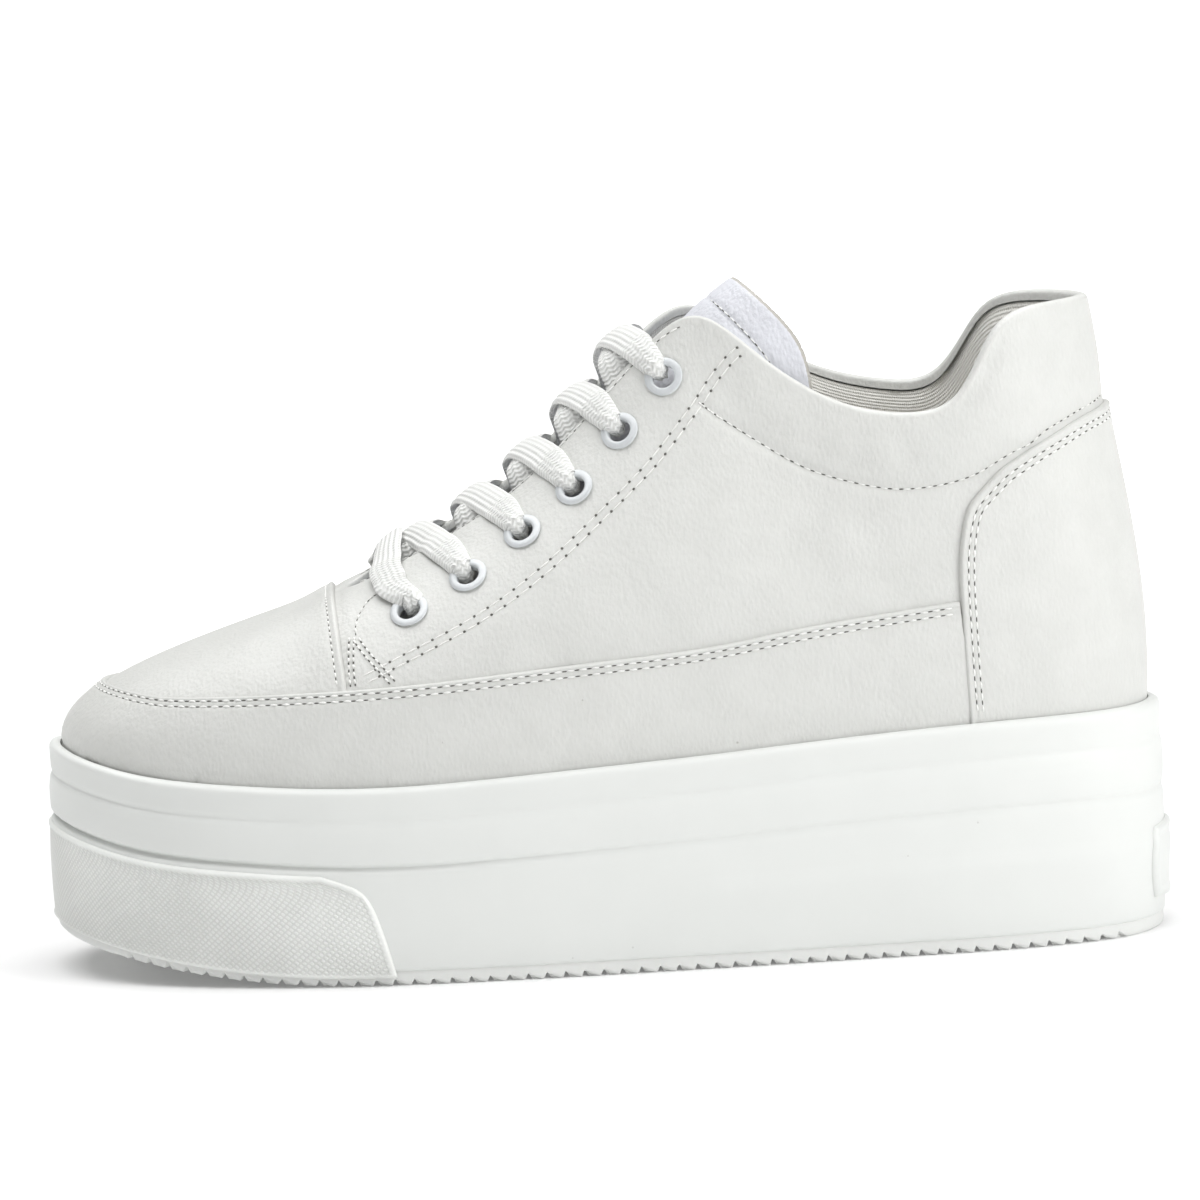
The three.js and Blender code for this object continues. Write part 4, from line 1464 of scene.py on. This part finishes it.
# %% Turned eyelet
EYELET_OUTLINE = [  # radius, height
    (2.85, -1.9),
    (2.72, -1.2),
    (2.72, 0.2),
    (2.78, 0.5),
    (2.95, 0.7),
    (3.3, 0.78),
    (3.9, 0.72),
    (4.35, 0.6),
    (4.6, 0.42),
    (4.62, 0.26),
    (4.4, 0.16),
    (3.1, 0.12),
    (3.05, -1.9),
]


def turned(name, outline, corners):
    """A ring turned from its outline, whose last point joins its first."""
    clear_hands()
    radius, height = outline[0]
    place = (0, 0, height * MM)
    bpy.ops.mesh.primitive_circle_add(vertices=corners, radius=radius * MM, location=place)
    bpy.ops.object.transform_apply(location=True)
    piece = bpy.context.object
    piece.name = piece.data.name = name
    bpy.ops.object.mode_set(mode="EDIT")
    bpy.ops.mesh.select_all(action="SELECT")
    for next_radius, next_height in [*outline[1:], outline[0]]:
        rise = {"value": (0, 0, (next_height - height) * MM)}
        bpy.ops.mesh.extrude_region_move(TRANSFORM_OT_translate=rise)
        grow = next_radius / radius
        bpy.ops.transform.resize(value=(grow, grow, 1), center_override=(0, 0, 0))
        radius, height = next_radius, next_height
    bpy.ops.object.mode_set(mode="OBJECT")
    return close(piece, 60)


pattern = turned("eyelet_pattern", EYELET_OUTLINE, 40)
for hand, name in ((1, "lateral"), (-1, "medial")):
    for number, (rib, height) in enumerate(zip(EYELET_RIB, EYELET_UP), 1):
        ring_piece = pattern.copy()
        ring_piece.data = pattern.data.copy()
        ring_piece.name = ring_piece.data.name = f"eyelet_ring_{name}_{number}"
        bpy.context.collection.objects.link(ring_piece)
        ring_piece.data.transform(at_eyelet(hand, rib, height))
        ring_piece.data.materials.append(ENAMEL)
        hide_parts(f"eyelet_{name}_{number}")
        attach(ring_piece, "root")
bpy.data.objects.remove(pattern)
print("eyelets: 12, flange", 2 * EYELET_OUTLINE[8][0], "mm across")

# %% [markdown]
# ### Lace
#
# The lace is a flat braid 8 mm wide. At the toe end one bar runs straight across and goes into
# both lowest eyelets from outside. Each crossing above it has two strands: a strand comes out
# from under one facing, arches over the tongue and dives into the next eyelet of the other
# facing. Where it dives, the braid narrows, crumples and turns down through the ring.

# %% Walking over the instep
LACE_WIDE = 8.2
LACE_THICK = 1.5
LACE_NARROWS = 3.3  # where it dives into a ring
CROWN = 30.0
LACE_LIFT = 0.85 + LACE_THICK / 2


def throat_numbers(points):
    off = points - ORIGIN
    return off @ ALONG, points[..., 1], off @ UPWARDS


edge_ribs = np.linspace(0, 8.5, 500)
edge_numbers = {hand: throat_numbers(top_at(-hand * edge_ribs)) for hand in (-1, 1)}


def throat_edge(along, hand):
    """Side and rise of the facing's edge."""
    numbers = edge_numbers[hand]
    return np.interp(along, numbers[0], numbers[1]), np.interp(along, numbers[0], numbers[2])


def instep(along, side):
    """The leather beside the throat, found by walking over the last."""
    hand = np.where(side > 0, -1.0, 1.0)
    rib, v = 1.5 + along / 17, np.full(along.shape, 0.9)
    for _ in range(18):
        a0, s0, _ = throat_numbers(rib_point(hand * rib, v))
        a1, s1, _ = throat_numbers(rib_point(hand * (rib + STEP), v))
        a2, s2, _ = throat_numbers(rib_point(hand * rib, v - STEP))
        a, b, c, d = (a1 - a0) / STEP, (a0 - a2) / STEP, (s1 - s0) / STEP, (s0 - s2) / STEP
        area = a * d - b * c
        rib = rib + np.clip(((along - a0) * d - b * (side - s0)) / area, -0.4, 0.4)
        v = np.minimum(1, v + np.clip((a * (side - s0) - c * (along - a0)) / area, -0.08, 0.08))
    return skin(hand * rib, v, np.zeros(rib.shape))


def over_instep(along, side, lift):
    """Points and normals at a lift over the leather, or on an arch across the open throat."""
    (out_side, out_rise), (in_side, in_rise) = throat_edge(along, -1), throat_edge(along, 1)
    share = np.clip((side - out_side) / (in_side - out_side), 0, 1)
    arch = np.maximum(0, (side - out_side) * (in_side - side)) / (2 * CROWN)
    bridge = in_throat(along, side, mix(out_rise, in_rise, share) + arch)
    leather_place, normal = instep(along, side)
    open_part = ((side > out_side) & (side < in_side))[:, None]
    slope = (in_side + out_side - 2 * side) / (2 * CROWN)
    bridge_normal = unit(UPWARDS - slope[:, None] * np.array([0, 1, 0]))
    normal = np.where(open_part, bridge_normal, normal)
    return np.where(open_part, bridge, leather_place) + normal * lift[:, None], normal


stops = []
for rib, height in zip(EYELET_RIB, EYELET_UP):
    place, normal = skin(np.array(float(rib)), np.array(height), 0.0)
    stops.append((*throat_numbers(place), place, normal))


# %% Strands
def dive(stop, hand, arriving):
    """Last stations of a strand: over the ring's lip and down the hole. hand is -1 outside."""
    flip = np.array([1, -hand, 1])
    hole, normal = stop[3] * flip, stop[4] * flip
    way = unit(arriving - normal * (arriving @ normal))
    bend, aside = 2.0, 1.25
    stations, ups = [], []
    for angle in np.linspace(0, math.pi / 2, 7):
        along = -way * (aside + bend) + way * bend * math.sin(angle)
        stations.append(hole + along + normal * (LACE_LIFT + 0.3 - bend * (1 - math.cos(angle))))
        ups.append(normal * math.cos(angle) + way * math.sin(angle))
    deep = LACE_LIFT + 0.3 - bend
    stations += [hole - way * aside + normal * (deep - down) for down in (0.8, 1.8, 2.8)]
    return np.array(stations), np.array(ups + 3 * [way])


def braid(name, path, ups, narrow):
    """A flat braid along a path, its broad side facing ups. narrow(w) gives width and bunching."""
    knots = fair_line(np.hstack([path, ups]))(np.linspace(0, len(path) - 1, 600))
    run = lengths(knots[:, :3])
    count = max(24, int(run[-1] / 0.7))
    even = read_at(np.linspace(0, run[-1], count + 1), run, knots)
    even, up_there = even[:, :3], even[:, 3:]
    along = unit(np.gradient(even, axis=0))
    steady = unit(np.cross(along, up_there))
    above = np.cross(steady, along)

    def faces(u, w):
        row = w * count
        pick = lambda field: read_at(row, np.arange(count + 1), field)
        centre, sideways, normal = pick(even), unit(pick(steady)), unit(pick(above))
        a = 2 * u - 1
        wide, bunch = narrow(w)
        ridge = 0.08 * np.cos(a * math.pi * 5.5) * (1 - a**8) * (1 - bunch)
        # Needle holes are drawn as dark beads: painted shade standing for the shadow in each hole.
        thick = LACE_THICK / 2 * np.sqrt(np.clip(1 - np.abs(a) ** 3.2, 0, 1)) + ridge
        crumple = 0.22 * np.sin(a * 9 + w * 60) * bunch
        cup = (0.35 + 1.5 * bunch) * (a**2) - crumple
        spot = centre + sideways * (a * wide / 2)[:, None] - normal * cup[:, None]
        crest = 1 - ease((bunch + 0.35 * (np.abs(w - 0.5) > 0.2)) / 0.35)
        under = spot - normal * np.maximum(thick, 0.02)[:, None]
        return spot + normal * thick[:, None], under, {"crest": crest}

    piece = sheet(name, 40, count, faces, angle=70)
    piece.data.materials.append(LACE)
    lace_uv = piece.data.uv_layers[0].data
    scaled = np.empty(2 * len(lace_uv))
    lace_uv.foreach_get("uv", scaled)
    scaled[1::2] *= run[-1] / 40
    lace_uv.foreach_set("uv", scaled)
    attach(piece, "root")
    print(f"{name}: {run[-1]:.0f} mm along its middle")
    return piece


def strand_path(start, stop, hand, over):
    """From under the opposite facing, over the throat, into the eyelet on side hand."""
    start_side, _ = throat_edge(start[0], 1)
    along_0, side_0 = start[0] + 5.5, -hand * (start_side + 3)
    along_1, side_1 = stop[0], hand * stop[1] * -1
    f = np.linspace(0, 1, 15)
    side = mix(side_0, side_1, f)
    along = along_1 - (along_1 - along_0) * (1 - f) ** 1.7
    open_half, _ = throat_edge((start[0] + stop[0]) / 2, 1)
    signed = hand * side
    climb = ease((signed + open_half) / (0.5 * open_half))
    to_ring = ease((signed - open_half) / (signed[-1] - open_half))
    lift = mix(-(WALL + 0.8 + LACE_THICK / 2), LACE_THICK / 2 + 0.1, climb) + over * trough(side, 7.5)
    lift = lift + (LACE_LIFT - LACE_THICK / 2 - 0.1) * to_ring
    points, normals = over_instep(along, side, lift)
    keep = np.linalg.norm(points - stop[3] * [1, -hand, 1], axis=1) > 5.2
    points, normals = points[keep], normals[keep]
    end, end_ups = dive(stop, hand, unit(points[-1] - points[-2]))
    return np.vstack([points, end]), np.vstack([normals, end_ups])


def taper_end(w):
    """Full width, narrowing and bunching at the far end."""
    bunch = ease((w - 0.7) / 0.28)
    return LACE_WIDE - LACE_NARROWS * bunch, bunch


def taper_both(w):
    """Full width in the middle, narrowing at both ends."""
    bunch = ease((np.abs(2 * w - 1) - 0.6) / 0.36)
    return LACE_WIDE - LACE_NARROWS * bunch, bunch


for number in range(5):
    for hand, name, over in ((-1, "lateral", 0.95), (1, "medial", -0.8)):
        path, ups = strand_path(stops[number], stops[number + 1], hand, over)
        piece = braid(f"lace_strand_{name}_{number + 1}", path, ups, taper_end)
        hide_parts(f"lace_crossing_{number + 1}")
first = stops[0]
sides = np.linspace(first[1], -first[1], 21)
sweep = trough(sides, 12)
middle, middle_ups = over_instep(first[0] + 5.5 * sweep, sides, LACE_LIFT + 0.2 + 1.3 * sweep)
away = np.abs(np.abs(sides) - abs(first[1])) > 4.6
end_a, ups_a = dive(first, -1, unit(np.array([-0.3, -1, -0.9])))
end_b, ups_b = dive(first, 1, unit(np.array([-0.3, 1, -0.9])))
bar_path = np.vstack([end_a[::-1], middle[away], end_b])
bar_ups = np.vstack([ups_a[::-1], middle_ups[away], ups_b])
bar = braid("lace_bottom_bar", bar_path, bar_ups, taper_both)
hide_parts("lace_bar")

# %% [markdown]
# ## Stitching
#
# A stitch is a short thread that rises from one needle hole and sinks into the next. One bead
# of thread is modelled as a small ball; for every stitch it is stretched between its two holes
# and arched a little. All stitches of a seam are joined into one mesh, as are the dark beads of
# painted shade that stand for the needle holes between them, so a seam of a hundred stitches
# stays one light piece.

# %% One bead, stretched many times
clear_hands()
bpy.ops.mesh.primitive_uv_sphere_add(segments=6, ring_count=6, radius=1)
bead = bpy.context.object
BEAD_POINTS = np.array([v.co for v in bead.data.vertices])
BEAD_FACES = [tuple(f.vertices) for f in bead.data.polygons]
bpy.data.objects.remove(bead)


def beads(name, runs, finish):
    """runs holds start, end, normal, radius and arch of each stitch; all join in one piece."""
    points, faces = [], []
    for start, end, normal, radius, arch in runs:
        across = unit(np.cross(end - start, normal))
        a, b, s = BEAD_POINTS.T
        bow = normal * (arch * (1 - s**2) + b * radius * 0.8)[:, None]
        points.append(mix(start, end, (s[:, None] + 1) / 2) + across * (a * radius)[:, None] + bow)
        first = len(BEAD_POINTS) * (len(points) - 1)
        faces += [tuple(first + i for i in face) for face in BEAD_FACES]
    mesh = bpy.data.meshes.new(name)
    mesh.from_pydata(((np.vstack(points) + SHIFT) * MM).tolist(), [], faces)
    piece = bpy.data.objects.new(name, mesh)
    bpy.context.collection.objects.link(piece)
    mesh.materials.append(finish)
    mesh.shade_smooth()
    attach(piece, "root")
    print(f"{name}: {len(runs)} stitches")


def sewn(line, out, pitch, thread, radius, arch, start=0.0, stop=1.0):
    """Threads and gaps along a seam at a height out of the skin. thread is its share of pitch."""
    points, normals = skin(line[:, 0], line[:, 1], out)
    return stitched(points, normals, pitch, thread, radius, arch, start, stop)


def stitched(points, normals, pitch, thread, radius, arch, start=0.0, stop=1.0):
    """Threads and gaps along a line of points; start and stop are shares of its length."""
    run = lengths(points)
    begin, end = run[-1] * start, run[-1] * stop
    count = int((end - begin) / pitch)
    at = lambda where, field: read_at(where, run, field)
    threads, gaps = [], []
    for k in range(count):
        here = begin + pitch * (k + 0.5)
        half = pitch * thread / 2
        normal = unit(at(here, normals))
        threads.append((at(here - half, points), at(here + half, points), normal, radius, arch))
        gaps.append((here + half, here + pitch - half, at, points, normal))
    return threads, gaps


def holes(gaps, radius, out):
    """A dark bead of painted shade in every gap, for the shadow in a needle hole, raised a little so
    that the leather doesn't hide it.
    """
    found = []
    for start, end, at, points, normal in gaps:
        a, b = at(start, points), at(end, points)
        found.append((a + normal * out, b + normal * out, normal, radius, 0.0))
    return found


# %% Rows of stitches
# dark gathers the beads of painted shade at the needle holes; DOT is half such a dot in a tight row,
# along and across.
white, dark = [], []
DOT = 0.34  # half a needle hole in a tight row, along and across
DOT_LIFT = 0.03


def on_leather(line):
    """Height of the upper's leather along a line."""
    return relief(line[:, 0], line[:, 1])[0]


def row(line, out, pitch, thread=0.6, radius=0.28, arch=0.18, hole=0.18, both=True, **where):
    """One row on the outer side, and its twin on the inner side. out None lies on the upper."""
    for seam_line in (line, across_shoe(line)) if both else (line,):
        height = on_leather(seam_line) if out is None else out
        threads, gaps = sewn(seam_line, height, pitch, thread, radius, arch, **where)
        white.extend(threads)
        dark.extend(holes(gaps, hole, 0.05))


def dots(line, pitch):
    """A tight row that shows little more than its needle holes, drawn as dots of painted shade."""
    for seam_line in (line, across_shoe(line)):
        threads, gaps = sewn(seam_line, on_leather(seam_line), pitch, 0.84, 0.2, 0.08)
        white.extend(threads)
        for start, end, at, points, normal in gaps:
            middle = at((start + end) / 2, points)
            way = unit(at(end, points) - at(start, points)) * DOT
            ends = middle - way + normal * DOT_LIFT, middle + way + normal * DOT_LIFT
            dark.append((*ends, normal, DOT, 0.0))


for distance in MUDGUARD_ROWS:
    height = float(folded_height(np.array(distance), MUDGUARD_THICK, MUDGUARD_ROWS))
    row(beside(mudguard_edge, distance, -1), height, 2.9, both=False, start=0.003, stop=0.997)
for distance in COUNTER_ROWS:
    height = float(folded_height(np.array(distance), COUNTER_THICK, COUNTER_ROWS))
    row(beside(counter_edge, distance), height, 2.8, both=False, start=0.03, stop=0.97)
height = float(folded_height(np.array(2.1), TOE_THICK, (2.1,)))
toe_row = beside(toe_edge, 2.1, -1)
toe_row = toe_row[toe_depth(rib_point(toe_row[:, 0], toe_row[:, 1])) > TOE_TUCK + 0.8]
row(toe_row, height, 2.0, both=False)
dots(EYESTAY_SEAM, 3.75)
dots(beside(EYESTAY_SEAM, 2.0), 3.75)
row(COLLAR_SEAM, None, 2.7, thread=0.6, radius=0.2, arch=0.1, hole=0.18)
row(COLLAR_SEAM, None, 1.3, thread=0.7, radius=0.24, arch=0.2, hole=0.24, start=0.0, stop=0.06)
row(STAY_FRONT, None, 2.2)
for line, gap in ((POST, 1.2), (BRACE, 1.3)):
    row(line, None, 1.9, thread=0.62, radius=0.31, hole=0.23)
    row(beside(line, gap), None, 1.9, thread=0.62, radius=0.31, hole=0.23)
facing = np.stack([np.linspace(1.4, 7.35, 300), np.ones(300)], 1)
facing[:, 1] = 1 - 1.3 / rib_length(facing[:, 0])
row(facing, None, 2.9, thread=0.7, radius=0.22, hole=0.14)
beads("upper_thread", white, THREAD)
beads("upper_needle_holes", dark, NEEDLE_HOLE_SHADE)

# %% Row across the tongue
tongue_rows = len(TONGUE["along"]) - 1
seam_row = np.full(300, tongue_rows - TONGUE_SEAM / 18)
spread = np.linspace(-0.97, 0.97, 300)
on_top = tongue_point(spread, seam_row, 0.3)
below = tongue_point(spread, seam_row, 1.3)
threads, gaps = stitched(on_top, unit(on_top - below), 2.7, 0.62, 0.2, 0.15)
beads("tongue_thread", threads, THREAD)
beads("tongue_needle_holes", holes(gaps, 0.16, 0.08), NEEDLE_HOLE_SHADE)

# %% [markdown]
# ## The studio
#
# A white shoe is lit so that the ground burns out to pure white while the shoe keeps its greys.
# A broad lamp overhead lights the floor, a low white wall stands all round at a distance, and a
# soft lamp at the heel makes the tones climb from toe to heel. The floor glows only far from
# the shoe, so the shadow under the sole stays dark.

# %% Floor and wall
FLOOR_TONE, FLOOR_NEAR, FLOOR_FAR = 0.8, 0.18, 1.3
OVERHEAD, HEEL_SIDE, WORLD = 53, 2.9, 0.03
GLOW = 0.58
WALL_RADIUS, WALL_HIGH = 2.9, 0.3


def stage_paint(name, tone, near, far):
    """Matt paint that glows by near at the middle of the set and by far at its edge."""
    finish = Finish(name)
    place = finish.node("ShaderNodeTexCoord", output="Object")
    distance = finish.node("ShaderNodeVectorMath", {"operation": "LENGTH"}, {0: place}, output=1)
    glow = finish.blend((near,) * 3, (far,) * 3, distance.ramp(0.3, 1.1))
    grain = finish.noise(finish.millimetres(), 40)
    bump = finish.node("ShaderNodeBump", sockets={"Height": grain, "Distance": 1e-5})
    shader = finish.node("ShaderNodeBsdfPrincipled", sockets={
        "Base Color": (tone, tone, tone, 1), "Roughness": 0.7, "Normal": bump,
        "Emission Color": glow, "Emission Strength": GLOW,
    })
    finish.node("ShaderNodeOutputMaterial", sockets={"Surface": shader})
    return finish.material


clear_hands()
bpy.ops.mesh.primitive_plane_add(size=6)
floor = bpy.context.object
floor.name = "studio_floor"
floor.data.materials.append(stage_paint("floor_paint", FLOOR_TONE, FLOOR_NEAR, FLOOR_FAR))
clear_hands()
bpy.ops.mesh.primitive_cylinder_add(
    vertices=96, radius=WALL_RADIUS, depth=WALL_HIGH, end_fill_type="NOTHING",
)
wall = bpy.context.object
wall.name = "studio_wall"
wall.data.transform(Matrix.Translation((0, 0, WALL_HIGH / 2)))
wall.data.materials.append(stage_paint("wall_paint", 0.7, 1.5, 1.5))

# %% Light
world = bpy.data.worlds.new("studio")
world.use_nodes = True
world.node_tree.nodes["Background"].inputs["Color"].default_value = (1, 1, 1, 1)
world.node_tree.nodes["Background"].inputs["Strength"].default_value = WORLD
bpy.context.scene.world = world


def soft_lamp(name, place, size, watts, aim):
    """A square lamp that looks at a place."""
    bpy.ops.object.light_add(type="AREA", location=place)
    lamp = bpy.context.object
    lamp.name = name
    lamp.data.size = size
    lamp.data.energy = watts
    lamp.rotation_euler = (Vector(place) - Vector(aim)).to_track_quat("Z", "Y").to_euler()


soft_lamp("overhead", (-0.15, 0.1, 1.7), 2.2, OVERHEAD, (-0.1, 0.1, 0))
soft_lamp("heel_side", (0.62, -0.45, 0.36), 0.4, HEEL_SIDE, (0.1, 0, 0.08))
bpy.context.scene.view_settings.view_transform = "Standard"
